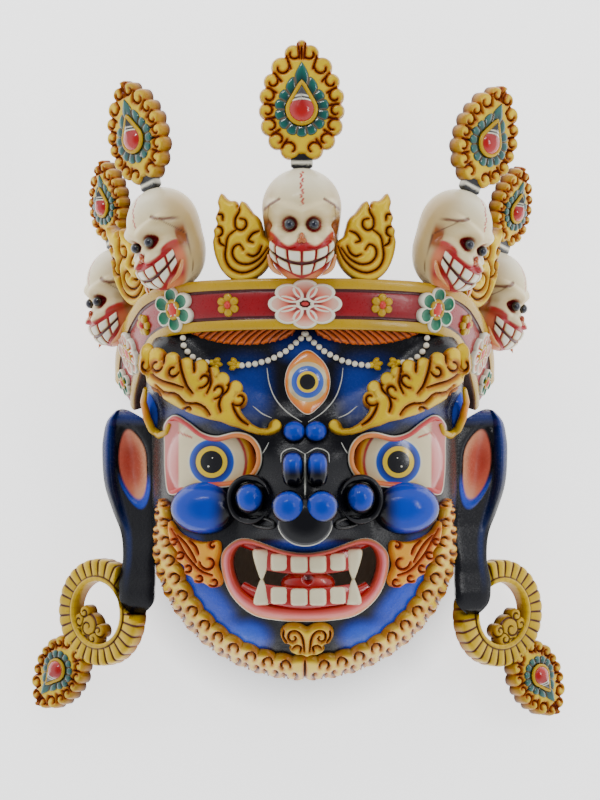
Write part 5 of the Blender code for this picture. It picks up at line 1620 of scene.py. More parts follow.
@dataclass(frozen=True)
class BandLine:
    """The middle line of the crown's band, right half, and its flare.

    Each row is x and y in half face widths and z in face depths.
    """

    height: float = 0.051
    free_thickness: float = 0.014
    bite: float = 0.003
    rows: Table = (
        (0.0, 1.075, 1.11), (0.25, 1.074, 1.103), (0.5, 1.068, 1.06), (0.72, 1.055, 0.995),
        (0.86, 1.035, 0.91), (0.96, 0.99, 0.8), (1.04, 0.9, 0.64), (1.11, 0.765, 0.415),
        (1.145, 0.64, 0.27), (1.155, 0.53, 0.175),
    )
    flare: Table = ((0.0, 0.4, 0.7, 1.0), (0.04, 0.1, 0.28, 0.3))

    def at(self, shares: Array) -> tuple[Array, Array, Array]:
        """Middle point, outward and upward directions at shares of the half length."""
        shares = np.asarray(shares, float)
        line = np.array(self.rows) * [FORM.half_face, FORM.half_face, FORM.depth]
        places = np.concatenate([[0.0], np.cumsum(np.linalg.norm(np.diff(line, axis=0), axis=1))])
        places = places / places[-1]
        mirrored = np.concatenate([-places[:0:-1], places])
        both = np.concatenate([line[:0:-1] * [-1, 1, 1], line])
        point = curve_through(mirrored, both, shares)
        ahead = curve_through(mirrored, both, np.minimum(shares + 0.02, 1.0))
        along = ahead - curve_through(mirrored, both, np.maximum(shares - 0.02, -1.0))
        along = along / np.linalg.norm(along, axis=-1, keepdims=True)
        level = points_of(-along[..., 2], 0.0, along[..., 0])
        level = level / np.linalg.norm(level, axis=-1, keepdims=True)
        upward = np.array([0.0, 1.0, 0.0]) + level * curve_through(*self.flare, np.abs(shares))[..., None]
        upward = upward - along * np.sum(upward * along, axis=-1, keepdims=True)
        upward = upward / np.linalg.norm(upward, axis=-1, keepdims=True)
        return point, np.cross(along, upward), upward

    def seat(self, share: float, sink: float, inset: float) -> Array:
        """The point on the band's top edge, sink below it and inset behind its face."""
        point, outward, upward = self.at(np.array([share]))
        return point[0] + upward[0] * (self.height / 2 - sink) - outward[0] * inset


BAND = BandLine()
# Half the cross section of the band's face: share of the half height, rise in MM and paint
BAND_HALF = (
    (0.0, 0.8, CRIMSON), (0.2, 0.7, CRIMSON), (0.45, 0.5, CRIMSON), (0.47, 0.2, MAROON), (0.5, -0.3, MAROON),
    (0.56, 0.0, MAROON), (0.575, 0.4, UMBER), (0.585, 2.2, UMBER), (0.6, 2.4, GOLD), (0.72, 3.1, GOLD),
    (0.86, 3.2, GOLD), (0.965, 2.6, GOLD), (1.0, 1.6, OCHRE), (1.0, -1.0, UMBER),
)
BAND_PROFILE = [(-share, rise, paint) for share, rise, paint in BAND_HALF[:0:-1]] + list(BAND_HALF)


class Bloom(Enum):
    """The painted flowers of the band."""

    LOTUS = "lotus"
    GILDED = "gilded"
    GREEN = "green"


# Share of the half band, radius and petals of each flower, and its kind
BAND_FLOWERS = (
    (0.0, 0.0245, 8, Bloom.LOTUS), (0.236, 0.0115, 6, Bloom.GILDED), (0.415, 0.023, 6, Bloom.GREEN),
    (0.585, 0.0115, 6, Bloom.GILDED), (0.785, 0.0235, 8, Bloom.LOTUS), (0.945, 0.015, 6, Bloom.GREEN),
)


@dataclass
class Crown:
    """The crown's band and its flowers."""

    sections: int = 260
    lotus_stretch: float = 1.5

    def depth_behind(self, points: Array, direction: Array) -> Array:
        """Distance from points to the plain head along a direction, by bisection, free edges kept thin."""
        near, far = np.zeros(points.shape[:-1]), np.full(points.shape[:-1], 0.3 * FORM.depth)
        for _ in range(24):
            middle = (near + far) / 2
            probe = points + direction * middle[..., None]
            level = FORM.level(probe[..., 0], probe[..., 1])
            inside = probe[..., 2] < FORM.dome(np.minimum(level, 1.0), probe[..., 1], FORM.depth)
            inside = inside & (level < 1.0)
            far, near = np.where(inside, middle, far), np.where(inside, near, middle)
        missed = ramp(far, 0.24 * FORM.depth, 0.29 * FORM.depth)
        return (far - 0.5 * MM) * (1.0 - missed) + BAND.free_thickness * missed

    def band(self) -> Surface:
        """The ribbon: its profile carried along the middle line, and its back down to the head."""
        shares = np.linspace(-1.0, 1.0, self.sections)
        point, outward, upward = BAND.at(shares)
        share = np.array([row[0] for row in BAND_PROFILE])[:, None]
        rise = np.array([row[1] for row in BAND_PROFILE])[:, None] * MM
        half = BAND.height / 2
        face = point[:, None] + upward[:, None] * share * half + outward[:, None] * rise
        up = np.linspace(half, -half, 9)[:, None]
        base = point[:, None] + upward[:, None] * up
        inwards = np.broadcast_to(-outward[:, None], base.shape)
        back = base + inwards * self.depth_behind(base, inwards)[..., None]
        colours = np.concatenate([np.array([row[2] for row in BAND_PROFILE]), np.tile(UMBER, (9, 1))])
        rings = np.concatenate([face, back], axis=1)
        return ringed(rings, np.broadcast_to(colours, rings.shape))

    def petal(self, angle: float, radius: float, count: int, kind: Bloom, stretch: float,
              row: int) -> Surface:
        """One petal: rings of an oval dish whose long axis points outwards, crisply bordered."""
        turn = full_turn(40)
        length, width = 0.43 * radius, min(0.4, 1.12 * math.sin(math.pi / count)) * radius
        shares = np.array([0.15, 0.35, 0.55, 0.72, 0.76, 0.8, 0.9, 1.0, 1.0])[:, None]
        rises = np.array([0.55, 0.6, 0.7, 0.85, 0.95, 1.0, 1.0, 0.75, -1.2])[:, None]
        if kind is Bloom.GILDED:
            rises = np.array([1.1, 1.05, 1.0, 0.95, 0.9, 0.85, 0.75, 0.5, -1.2])[:, None]
        along, aside = shares * length * np.cos(turn), shares * width * np.sin(turn)
        aside = aside * (0.86 + 0.16 * np.cos(turn))
        out = 0.57 * radius + along
        x = (out * math.cos(angle) - aside * math.sin(angle)) * stretch
        y = out * math.sin(angle) + aside * math.cos(angle)
        tall = (0.0046 if radius > 0.02 else 0.0034) + 0.0007 * row
        z = rises * tall + 0 * x
        share = within((out / radius - 0.14) / 0.72)
        streak = (1.0 - ramp(np.abs(aside) / width, 0.03, 0.14)) * ramp(-share, -0.62, -0.3)
        if kind is Bloom.LOTUS:
            inside = coats(ROSE, (PINK, ramp(share, 0.1, 0.55)),
                           ((0.82, 0.5, 0.38), ramp(share, 0.5, 1.0)), (MAROON, 0.8 * streak))
            border = WHITE
        elif kind is Bloom.GREEN:
            inside = coats(TEAL, (JADE, share), ((0.004, 0.03, 0.02), 0.85 * streak))
            border = WHITE
        else:
            inside, border = blend(OCHRE, GOLD, ramp(share, 0.0, 0.6)), GOLD
        rim = (shares > 0.78) & (shares < 1.01) & (rises > 0)
        paint = np.where(rim[..., None], np.asarray(border), inside)
        paint[-1] = UMBER
        return ringed(points_of(x, y, z), paint)

    def flower(self, radius: float, petals: int, kind: Bloom, stretch: float) -> Surface:
        """A ring of petals round a button."""
        parts = [self.petal(angle, radius, petals, kind, stretch, k % 2)
                 for k, angle in enumerate(full_turn(petals) + math.pi / 2)]
        if kind is Bloom.LOTUS and stretch > 1.2:
            # The lotus's button is rose on top and maroon at its edges: painted light and shade.
            parts.append(shaded_ball((0, 0, 1.0 * MM), (4.5 * MM, 2.5 * MM, 3.5 * MM), ROSE, MAROON,
                                     rows=12, around=24))
            return joined(parts)
        size = 0.3 * radius
        ring = full_turn(30)
        line = points_of(size * np.cos(ring), 1.25 * size * np.sin(ring), 3.6 * MM)
        if kind is not Bloom.GILDED:
            parts.append(tube(line, 0.09 * radius, GOLD, 10, closed=True))
        # The button is red on top and maroon at its edges: painted light and shade.
        parts.append(shaded_ball((0, 0, 2.6 * MM), (size, 1.25 * size, 3.6 * MM), (0.62, 0.03, 0.02), MAROON,
                                 0.0, 0.5, 16, 28))
        return joined(parts)

    def make(self, shop: Workshop) -> None:
        """The band and every flower on both sides."""
        band = self.band().outwards()
        shop.piece("crown_band_gilt", band, BAND_PAINT, "crown_band", crisp=50.0)
        for share, radius, petals, kind in BAND_FLOWERS:
            for side in (-1, 1) if share else (1,):
                stretch = self.lotus_stretch if share == 0.0 else 1.0
                point, outward, upward = BAND.at(np.array([side * share]))
                place = np.eye(4)
                place[:3, :3] = np.stack([np.cross(upward, outward)[0], upward[0], outward[0]], axis=1)
                place[:3, 3] = point[0] + outward[0] * 0.8 * MM
                shape = self.flower(radius, petals, kind, stretch).moved(place)
                name = f"{kind.value}_{round(100 * share)}_{'left' if side < 0 else 'right'}"
                shop.piece(name, shape, ENAMEL, crisp=60.0)


# name: share of the half band, inset, turn, lean, tip, height, and the finial's turn, lean, tip, height
STANDS = {
    "centre": ((-0.01, 0.005, 0.0, 0.0, 0.0, 0.11), (0.0, 0.0, 0.0, 0.12)),
    "left": ((-0.395, 0.005, -48.0, 4.0, -21.0, 0.102), (-40.0, 12.0, -22.0, 0.108)),
    "right": ((0.42, 0.005, 48.0, 4.0, 23.0, 0.102), (34.0, 12.0, 25.0, 0.108)),
    "far_left": ((-0.855, 0.012, -66.0, 0.0, -10.0, 0.102), (-52.0, 10.0, -16.0, 0.086)),
    "far_right": ((0.87, 0.01, 66.0, 0.0, 12.0, 0.102), (50.0, 10.0, 22.0, 0.086)),
}


def skull_place(name: str) -> Array:
    """Where a skull stands on the band, as a 4x4 place."""
    share, inset, turn, lean, tip, _ = STANDS[name][0]
    sink = 0.0008 + 0.006 * abs(math.sin(math.radians(tip)))
    return turned(BAND.seat(share, sink, inset), turn, lean, tip)


@dataclass
class Skulls:
    """The five grinning skulls, one unit high in their own place and facing +Z."""

    columns: int = 124
    rows: int = 104
    eye_x: float = 0.109
    eye_y: float = 0.475
    grin_turn: float = 1.22
    jaw: Table = ((0.0, 0.27, 0.07), (0.285, 0.3, 0.3))
    cranium: Table = ((0.0, 0.64, -0.03), (0.36, 0.362, 0.36))
    nape: Table = ((0.0, 0.42, -0.09), (0.335, 0.42, 0.27))
    # How far the columns crowd together on the skull's face
    crowding: float = 0.45
    # Swells and hollows: height, x, y and the half axes of each
    swells: Table = (
        (0.055, 0.215, 0.41, 0.1, 0.09), (0.06, 0.095, 0.315, 0.1, 0.07), (-0.05, 0.335, 0.47, 0.09, 0.12),
        (-0.09, 0.109, 0.475, 0.1, 0.105), (-0.03, 0.0, 0.345, 0.05, 0.07),
    )

    def leave(self, direction: Array, middle: Array, radii: Array) -> Array:
        """Distance from (0, 0.5, 0) to the far side of an ellipsoid: the greater root of its quadratic."""
        ray, offset = direction / radii, (np.array([0.0, 0.5, 0.0]) - middle) / radii
        a, b = np.sum(ray * ray, axis=-1), np.sum(ray * offset, axis=-1)
        c = np.sum(offset * offset) - 1.0
        return (-b + np.sqrt(np.clip(b * b - a * c, 0.0, None))) / a

    def front(self, x: Array, y: Array) -> Array:
        """Depth of the jaw's face over (x, y)."""
        (mx, my, mz), (rx, ry, rz) = self.jaw
        return mz + rz * np.sqrt(np.clip(1.0 - ((x - mx) / rx) ** 2 - ((y - my) / ry) ** 2, 0.0, None))

    def bone(self) -> Surface:
        """Cranium and jaw rounded together, with brows, cheeks and sockets pressed in or raised."""
        turn = full_turn(self.columns)[None, :]
        turn = turn - self.crowding * np.sin(turn)
        rise = np.linspace(-math.pi / 2, math.pi / 2, self.rows + 2)[1:-1, None]
        way = points_of(np.cos(rise) * np.sin(turn), np.sin(rise), np.cos(rise) * np.cos(turn))
        reach = self.leave(way, *np.array(self.cranium))
        for middle, radii in (self.jaw, self.nape):
            reach = rounded_max(reach, self.leave(way, np.array(middle), np.array(radii)), 0.07)
        side, y = np.abs(way[..., 0] * reach), 0.5 + way[..., 1] * reach
        lift = 0.045 * bump((y - 0.55 - 0.3 * side) / 0.1) * ramp(-side, -0.34, -0.24)
        for height, x, up, wide, tall in self.swells:
            lift += height * bump(np.hypot((side - x) / wide, (y - up) / tall))
        facing = ramp(way[..., 2], 0.0, 0.3)
        surface = np.array([0.0, 0.5, 0.0]) + way * (reach + lift * facing)[..., None]
        surface[..., 1] = np.clip(surface[..., 1], 0.0, 1.0)
        return ringed(surface, self.bone_paint(surface), (0, 0, 0), (0, 1, 0))

    def bone_paint(self, surface: Array) -> Array:
        """Ivory, whiter towards the crown's top, with its sides and back darkened as painted shade, brown
        hollows, the red lips and eye rings, brow creases with painted shade under them and the crown's
        suture.
        """
        s, y, z = np.abs(surface[..., 0]), surface[..., 1], surface[..., 2]
        ahead = ramp(z, 0.02, 0.12)
        turn = np.arctan2(s, z + 0.05)
        paint = blend(WHITE, (0.8, 0.66, 0.36), 0.35 + 0.65 * ramp(-y, -0.97, -0.62))
        # The sides and back of the skull are painted darker ochre: painted shade.
        side_shade = ramp(s, 0.1, 0.36) * ramp(-z, -0.34, -0.05)
        cheek = 0.365 - 0.075 * np.cos(np.clip((s - 0.115) / 0.2, -1, 1) * math.pi) * (s < 0.33)
        flesh = ramp(-(y - cheek), -0.005, 0.02) * ramp(-s, -0.36, -0.31)
        jowl = ramp(s, 0.22, 0.3) * (1.0 - ramp(y, 0.24, 0.44))
        jowl = jowl * ramp(-turn, -1.36, -1.1)
        jowl = np.maximum(jowl, ramp(-y, -0.1, -0.02))
        hollow = ramp(turn, 1.04, 1.16) * ramp(-turn, -1.44, -1.38) * bump((y - 0.44) / 0.15)
        arch = np.abs(turn - 1.42 + 0.62 * ramp(y, 0.42, 0.66)) * 0.36
        arch = (1.0 - ramp(arch, 0.004, 0.012)) * (y < 0.67) * (y > 0.06)
        ring = np.hypot(s - self.eye_x, y - self.eye_y)
        lid = bump((ring - 0.1) / 0.05) * (y > 0.45)
        crease = np.abs(y - (0.655 - 0.6 * (s - 0.28))) + 9 * within(np.abs(s - 0.28) - 0.085)
        under = 0.63 - 0.6 * (s - 0.28)
        shade = within(1.0 - (y - under) / -0.07) * (y < under) * bump((s - 0.27) / 0.14)
        zigzag = 0.012 * np.sign(np.sin(y * 130.0)) * np.sin(y * 65.0)
        seam = 1.0 - ramp(np.abs(surface[..., 0] - zigzag), 0.006, 0.013)
        seam = seam * ramp(y, 0.63, 0.66) * ramp(-y, -0.97, -0.95)
        return coats(
            paint,
            ((0.42, 0.26, 0.07), 0.75 * side_shade),
            ((0.42, 0.004, 0.01), flesh * ahead),
            ((0.74, 0.24, 0.08), 0.9 * jowl * ahead),
            ((0.3, 0.08, 0.012), within(1.7 * hollow)),
            ((0.1, 0.03, 0.01), 0.85 * arch),
            ((0.3, 0.004, 0.01), ahead * (1.0 - ramp(ring, 0.066, 0.08))),
            ((0.7, 0.48, 0.2), 0.5 * ahead * lid),
            ((0.12, 0.025, 0.008), 0.9 * ahead * (1.0 - ramp(crease, 0.008, 0.024))),
            ((0.45, 0.32, 0.12), 0.5 * shade * ahead),
            ((0.45, 0.01, 0.01), ahead * seam),
        )

    def grin(self) -> Surface:
        """The mouth as a band round the jaw, from gum to gum: two rows of swelling teeth.

        A column is an angle round the jaw's upright axis and a row a share of the band's half height.
        A tooth swells by (1 - tx^6)(1 - ty^6), where tx and ty run from -1 to 1 over it.
        """
        columns, rows = 190, 64
        angle = np.linspace(-self.grin_turn, self.grin_turn, columns)[None, :]
        share = np.linspace(-1.0, 1.0, rows)[:, None]
        bend = (angle / self.grin_turn) ** 2
        half = 0.122 * np.sqrt(1.0 - 0.58 * bend)
        y = 0.116 + 0.15 * bend + half * share + 0.012 * (share > 0)
        (mx, my, mz), (rx, ry, rz) = self.jaw
        round_jaw = np.sqrt(np.clip(1.0 - ((y - my) / ry) ** 2, 0.02, None))
        places = np.array([-1.3, -0.94, -0.47, 0.0, 0.47, 0.94, 1.3]) * self.grin_turn / 1.3
        index = np.clip(np.searchsorted(places, angle) - 1, 0, len(places) - 2)
        tooth_x = 2.0 * (angle - places[index]) / (places[index + 1] - places[index]) - 1.0
        tooth_y = np.where(share > 0, (share - 0.45) / 0.4, (share + 0.42) / 0.37)
        wide = 1.0 + 0.055 / (places[index + 1] - places[index])
        tooth = within(1.0 - np.abs(tooth_x * wide) ** 5) * within(1.0 - np.abs(tooth_y) ** 5)
        lift = 0.004 + 0.034 * np.sqrt(tooth)
        lift = np.where(np.abs(share) > 0.985, -0.03, lift)
        reach = round_jaw + lift / rx
        x, z = mx + rx * np.sin(angle) * reach, mz + (rz * round_jaw + lift) * np.cos(angle)
        # Each tooth is whitest where it swells most and yellower at its edges: painted light and shade.
        ivory = blend(blend((0.66, 0.52, 0.24), WHITE, ramp(tooth, 0.3, 0.9)), (0.6, 0.5, 0.28),
                      0.4 * ramp(np.abs(tooth_y), 0.5, 1.0))
        red = blend((0.38, 0.004, 0.01), MAROON, 1.0 - ramp(np.abs(share), 0.03, 0.1))
        paint = blend(red, ivory, ramp(tooth, 0.16, 0.34))
        top = points_of(x, y, z)
        below = points_of(0.86 * x, y, 0.82 * z)[:: 1 - rows // 3]
        colours = np.concatenate([paint, paint_of(MAROON, below)])
        rings = np.concatenate([top, below])
        across = np.swapaxes(rings, 0, 1)
        return ringed(across, np.swapaxes(colours, 0, 1), across[0].mean(axis=0), across[-1].mean(axis=0))

    def details(self) -> Surface:
        """Eyeballs, the triangle of the nose and the jaw's flesh horns."""
        # The nose's balls are nut brown on top and dark red at their edges, and the eyeballs dark blue on
        # top and black at their edges: painted light and shade.
        nut, nose_shade = (0.46, 0.11, 0.015), (0.3, 0.02, 0.01)
        parts = []
        z = float(self.front(np.array(self.eye_x), np.array(self.eye_y))) + 0.05
        for side in (-1, 1):
            parts.append(shaded_ball((side * self.eye_x, self.eye_y, z), (0.05, 0.052, 0.05),
                                     (0.004, 0.005, 0.018), BLACK, 0.1, 0.6, 18, 28))
            horn = ((0.3 * side, 0.21, 0.13), (0.262 * side, 0.09, 0.2), (0.17 * side, 0.012, 0.28))
            line = smooth_line(horn, 30, 1.0)
            share = within(np.linspace(0.0, 1.0, len(line)) + 0.08)
            radius = 0.02 * np.sin(np.pi * share) ** 0.6 + 0.004
            parts.append(tube(line, radius, (0.66, 0.26, 0.07), 12))
            parts.append(shaded_ball((side * 0.022, 0.322, 0.366), (0.028, 0.026, 0.026), nut, nose_shade,
                                     rows=12, around=18))
        parts.append(shaded_ball((0, 0.35, 0.362), (0.024, 0.05, 0.03), nut, nose_shade, rows=12, around=18))
        return joined(parts)

    def make(self, shop: Workshop) -> None:
        """Every skull in its place."""
        parts = (("bone", self.bone(), ENAMEL), ("grin", self.grin().outwards(), ENAMEL),
                 ("features", self.details(), JEWEL_PAINT))
        for name, (stand, _) in STANDS.items():
            size = np.diag([stand[5], stand[5], stand[5], 1.0])
            for label, surface, finish in parts:
                node = f"skull_{name}" if label == "bone" else None
                shape = surface.moved(skull_place(name) @ size)
                shop.piece(f"skull_{label}_{name}", shape, finish, node)


# Lobes of the finial's border on one side: x, y and radius in finial heights from its jewel
FINIAL_LOBES = (
    (0.0, 0.478, 0.044), (0.07, 0.405, 0.074), (0.168, 0.29, 0.086), (0.246, 0.172, 0.07),
    (0.278, 0.05, 0.074), (0.286, -0.07, 0.07), (0.262, -0.196, 0.078), (0.2, -0.31, 0.078),
    (0.095, -0.385, 0.085),
)
FINIAL_BODY = ((0.0, 0.05, 0.27), (0.0, -0.16, 0.27), (0.0, 0.24, 0.16))


@dataclass
class JewelLeaf:
    """A leaf-shaped board with a scrolled border, a ring of petals and a jewel; its jewel at the origin."""

    height: float
    thickness: float
    petals: int = 14
    petal_rise: float = 3.0 * MM
    bezel_rise: float = 3.0 * MM
    stone_rise: float = 5.0 * MM
    middle_share: float = -0.06

    def drop(self, angles: Array, share: Array = 1.0, point: float = 2.0) -> Array:
        """Reach of a drop with its point up: a circle and its two tangents from point radii above."""
        radius = 0.11 * self.height * share
        from_up = np.abs((angles - math.pi / 2 + math.pi) % (2 * math.pi) - math.pi)
        return radius / np.cos(np.clip(math.acos(1.0 / point) - from_up, 0.0, None))

    def board(self) -> Surface:
        """The board, whose every lobe curls round a comma cut."""
        h = self.height
        discs, strokes = [(x * h, y * h, r * h) for x, y, r in FINIAL_BODY], []
        for x, y, r in FINIAL_LOBES:
            for side in (-1, 1) if x > 0.0 else (1,):
                discs.append((side * x * h, y * h, r * h))
                if x > 0.0:
                    start = math.degrees(math.atan2(-0.068 - y, -side * x)) + 120 * side
                    place = np.array([side * x, y, 0.8 * r]) * h / MM
                    strokes.append(comma(*place, start, -side, 0.6))
        for (x, y, r), (next_x, next_y, next_r) in zip(FINIAL_LOBES, FINIAL_LOBES[1:]):
            meet = np.array([x * next_r + next_x * r, y * next_r + next_y * r]) / (r + next_r)
            inward = meet * np.array([0.8, 0.84]) - [0.0, 0.015]
            for side in (-1, 1):
                strokes.append(np.array([meet * 1.08, meet, inward]) * [side * h, h])
        strokes.append(smooth_line(((0.0, 0.46), (0.0, 0.36)), 6, h))
        flame = Flame(board=self.thickness / 2 - 1.0 * MM, puff=2.8 * MM, reach=2.2 * MM, line=1.0 * MM,
                      warmth=(0.42, 0.02, 0.004), dark=(0.14, 0.003, 0.002))

        return carved_plate((-0.4 * h, -0.5 * h), (0.4 * h, 0.55 * h), 0.0095 * h, by_discs(discs),
                            flame.relief(strokes), flat, self.thickness / 2)

    def petal_ring(self) -> Surface:
        """Petals round the bezel: reach and height follow |cos(n a / 2)|, with dark gaps between them."""
        count = self.petals * 14
        angles = math.pi / 2 + full_turn(count)
        lobe = np.abs(np.cos((angles - math.pi / 2) * self.petals / 2))
        middle = self.height * self.middle_share
        shares = np.array([1.15, 1.22, 1.36, 1.56, 1.78, 1.92, 2.0, 2.05, 2.08, 2.08])[:, None]
        reach = self.drop(angles, shares, 1.75) * (1.0 - 0.12 * (1.0 - lobe**0.5) * (shares > 1.5))
        base = self.thickness / 2 + self.petal_rise
        rises = np.array([0.0, 0.3, 0.9, 1.2, 1.2, 1.0, 0.7, 0.3, -0.6, -2.5])[:, None]
        z = base + MM * (1.4 * rises * (0.15 + 0.85 * lobe**0.6) - 0.7)
        z[-1] = self.thickness / 4
        body = blend((0.0, 0.045, 0.045), (0.002, 0.13, 0.1), 0.7 * lobe * ramp(shares, 1.4, 1.8))
        body = blend(body, (0.001, 0.008, 0.006), ramp(-shares + 0 * lobe, -1.45, -1.22))
        gap = 1.0 - ramp(lobe, 0.16, 0.34)
        paint = blend(body, (0.1, 0.05, 0.006), gap * (shares > 1.18))
        edge = shares > 2.01
        paint = np.where(edge[..., None], (0.004, 0.03, 0.02), paint)
        x, y = polar(reach, angles, 0.0, middle)
        foot = (0.0, middle, base - 3.0 * MM)
        return ringed(points_of(x, y, z), paint, foot, (0.0, middle, self.thickness / 4))

    def bezel(self) -> Surface:
        """A gold rod along the drop."""
        angles = math.pi / 2 + full_turn(90)
        reach, middle = self.drop(angles, 1.03), self.height * self.middle_share
        z = self.thickness / 2 + self.petal_rise + 1.2 * MM
        line = points_of(*polar(reach, angles, 0.0, middle), z)
        return tube(line, 0.021 * self.height, GOLD, 12, closed=True)

    def stone(self) -> Surface:
        """The red drop, z = rise*sqrt(1 - s^2), with a black tip and two white stripes."""
        angles = math.pi / 2 + full_turn(96)
        shares = np.sin(np.linspace(0.04, math.pi / 2, 40))[:, None]
        middle = self.height * self.middle_share
        reach = shares * self.drop(angles, 0.98)
        x, y = polar(reach, angles, 0.0, middle)
        base = self.thickness / 2 + self.petal_rise
        z = base + (self.bezel_rise + self.stone_rise) * np.sqrt(1.0 - shares**2 * 0.96) + 0 * x
        up = (y - middle) / self.height
        tip = ramp(up, 0.07, 0.076)
        paint = blend(blend(SCARLET, (0.34, 0.002, 0.004), ramp(up, -0.1, 0.08)), BLACK, tip)
        for at in (0.084, 0.114):
            stripe = np.abs(up - at + 2.2 * (x / self.height) ** 2)
            paint = blend(paint, WHITE, 1.0 - ramp(stripe, 0.0035, 0.0075))
        rings = np.concatenate([points_of(x, y, z), points_of(x[-1:], y[-1:], base - 2.0 * MM)])
        paint = np.concatenate([paint, paint[-1:]])
        top = (0.0, middle, base + self.bezel_rise + self.stone_rise)
        return ringed(rings, paint, top, (0.0, middle, base - 2.0 * MM))

    def jewels(self) -> Surface:
        """Petals and stone."""
        return joined([self.petal_ring(), self.stone()])


@dataclass
class Finials:
    """The five jewelled finials, each on a peg in its skull."""

    thickness: float = 0.012
    peg_width: float = 0.022
    peg_thickness: float = 0.01
    peg_length: float = 0.012

    def peg(self) -> Surface:
        """The painted peg below a leaf."""
        length = 1.45 * self.peg_length
        half = (self.peg_width / 2, length / 2, self.peg_thickness / 2)
        surface = block(turned((0, length / 2 - 0.4 * MM, 0), 0, 0, 0), half, 9.0, 28, 19)
        y = surface.points[:, 1] / self.peg_length
        surface.paint = blend(paint_of(BLACK, surface.points), WHITE, bump((y - 0.45) / 0.22))
        return surface

    def make(self, shop: Workshop) -> None:
        """Each finial: board and bezel in gold, the peg in enamel, petals and stone in jewel paint."""
        for name, (stand, (turn, lean, tip, height)) in STANDS.items():
            top = moved(skull_place(name), np.array([[0.0, stand[5], -0.03 * stand[5]]]))[0]
            foot = turned(top, turn, lean, tip)
            lift = height * -min(y - r for _, y, r in FINIAL_LOBES) + self.peg_length * 0.7
            place = foot @ turned((0.0, lift, 0.0), 0, 0, 0)
            leaf = JewelLeaf(height, self.thickness)
            gilt = joined([leaf.board(), leaf.bezel()]).moved(place)
            shop.piece(f"finial_leaf_{name}", gilt, GILT, f"finial_{name}")
            shop.piece(f"finial_peg_{name}", self.peg().moved(foot), ENAMEL)
            shop.piece(f"finial_jewel_{name}", leaf.jewels().moved(place), JEWEL_PAINT)


# A left scroll wing, from its middle, in wing heights: its outline and its cuts
WING_LINE = (
    (-0.247, 0.54), (-0.19, 0.485), (-0.14, 0.455), (-0.085, 0.455), (-0.06, 0.42), (-0.05, 0.375),
    (-0.035, 0.42), (-0.015, 0.452), (0.03, 0.43), (0.065, 0.385), (0.12, 0.31), (0.16, 0.28),
    (0.2, 0.22), (0.225, 0.13), (0.25, 0.05), (0.3, 0.01), (0.345, -0.05), (0.335, -0.17),
    (0.27, -0.31), (0.15, -0.42), (0.0, -0.46), (-0.13, -0.435), (-0.245, -0.33), (-0.315, -0.18),
    (-0.345, -0.02), (-0.33, 0.06), (-0.335, 0.13), (-0.295, 0.19), (-0.315, 0.26), (-0.29, 0.33),
    (-0.275, 0.37), (-0.29, 0.45),
)
WING_CUTS = (
    ((0.01, -0.1), (-0.035, -0.04), (-0.1, -0.07), (-0.116, -0.156), (-0.057, -0.241), (0.05, -0.266),
     (0.177, -0.213), (0.29, -0.08)),
    ((0.19, 0.11), (0.11, 0.075), (0.07, 0.0), (0.12, -0.02)),
    ((0.06, -0.155), (0.12, -0.175), (0.18, -0.14), (0.22, -0.06)),
    ((-0.03, 0.25), (0.03, 0.235), (0.042, 0.17), (-0.007, 0.12), (-0.07, 0.14), (-0.085, 0.24),
     (-0.035, 0.35), (-0.045, 0.4)),
    ((-0.075, 0.125), (-0.165, 0.05), (-0.19, -0.07), (-0.2, -0.18), (-0.148, -0.297), (-0.007, -0.361),
     (0.148, -0.311), (0.26, -0.2), (0.325, -0.06)),
    ((-0.3, 0.165), (-0.245, 0.15), (-0.235, 0.08), (-0.28, 0.045)),
    ((-0.3, 0.3), (-0.235, 0.295), (-0.225, 0.235)),
    ((-0.27, 0.03), (-0.26, -0.02), (-0.2, -0.06)),
)


@dataclass
class Wings:
    """Four scroll wings: a curling cloud in a crescent bowl, standing on the band."""

    height: float = 0.088
    thickness: float = 0.012
    inset: float = 0.005
    middle: float = 0.46
    stands = {
        "left": (-0.19, -8.0, 0.0, 0.0, 1), "right": (0.186, 8.0, 0.0, 0.0, -1),
        "far_left": (-0.59, -52.0, 4.0, -16.0, 1), "far_right": (0.605, 52.0, 6.0, 16.0, -1),
    }

    def wing(self) -> Surface:
        """The cloud and its bowl as one carved plate."""
        loop = closed_curve(WING_LINE, 150) * self.height
        strokes = [smooth_line(line, 22, self.height) for line in WING_CUTS]

        flame = Flame(board=self.thickness / 2 - 1.0 * MM, puff=3.6 * MM, reach=5.0 * MM, glow=0.35)
        h = self.height
        return carved_plate((-0.37 * h, -0.48 * h), (0.37 * h, 0.56 * h), 0.0085 * h, by_loop(loop),
                            flame.relief(strokes), flat, self.thickness / 2)

    def make(self, shop: Workshop) -> None:
        """Each wing in its place."""
        shape = self.wing().moved(turned((0.0, self.middle * self.height, 0.0), 0, 0, 0))
        for name, (share, turn, lean, tip, mirror) in self.stands.items():
            place = turned(BAND.seat(share, BAND.bite, self.inset), turn, lean, tip)
            wing = shape if mirror > 0 else shape.mirrored()
            shop.piece(f"scroll_wing_{name}", wing.moved(place).outwards(), GILT, f"wing_{name}")


# The ears and earrings

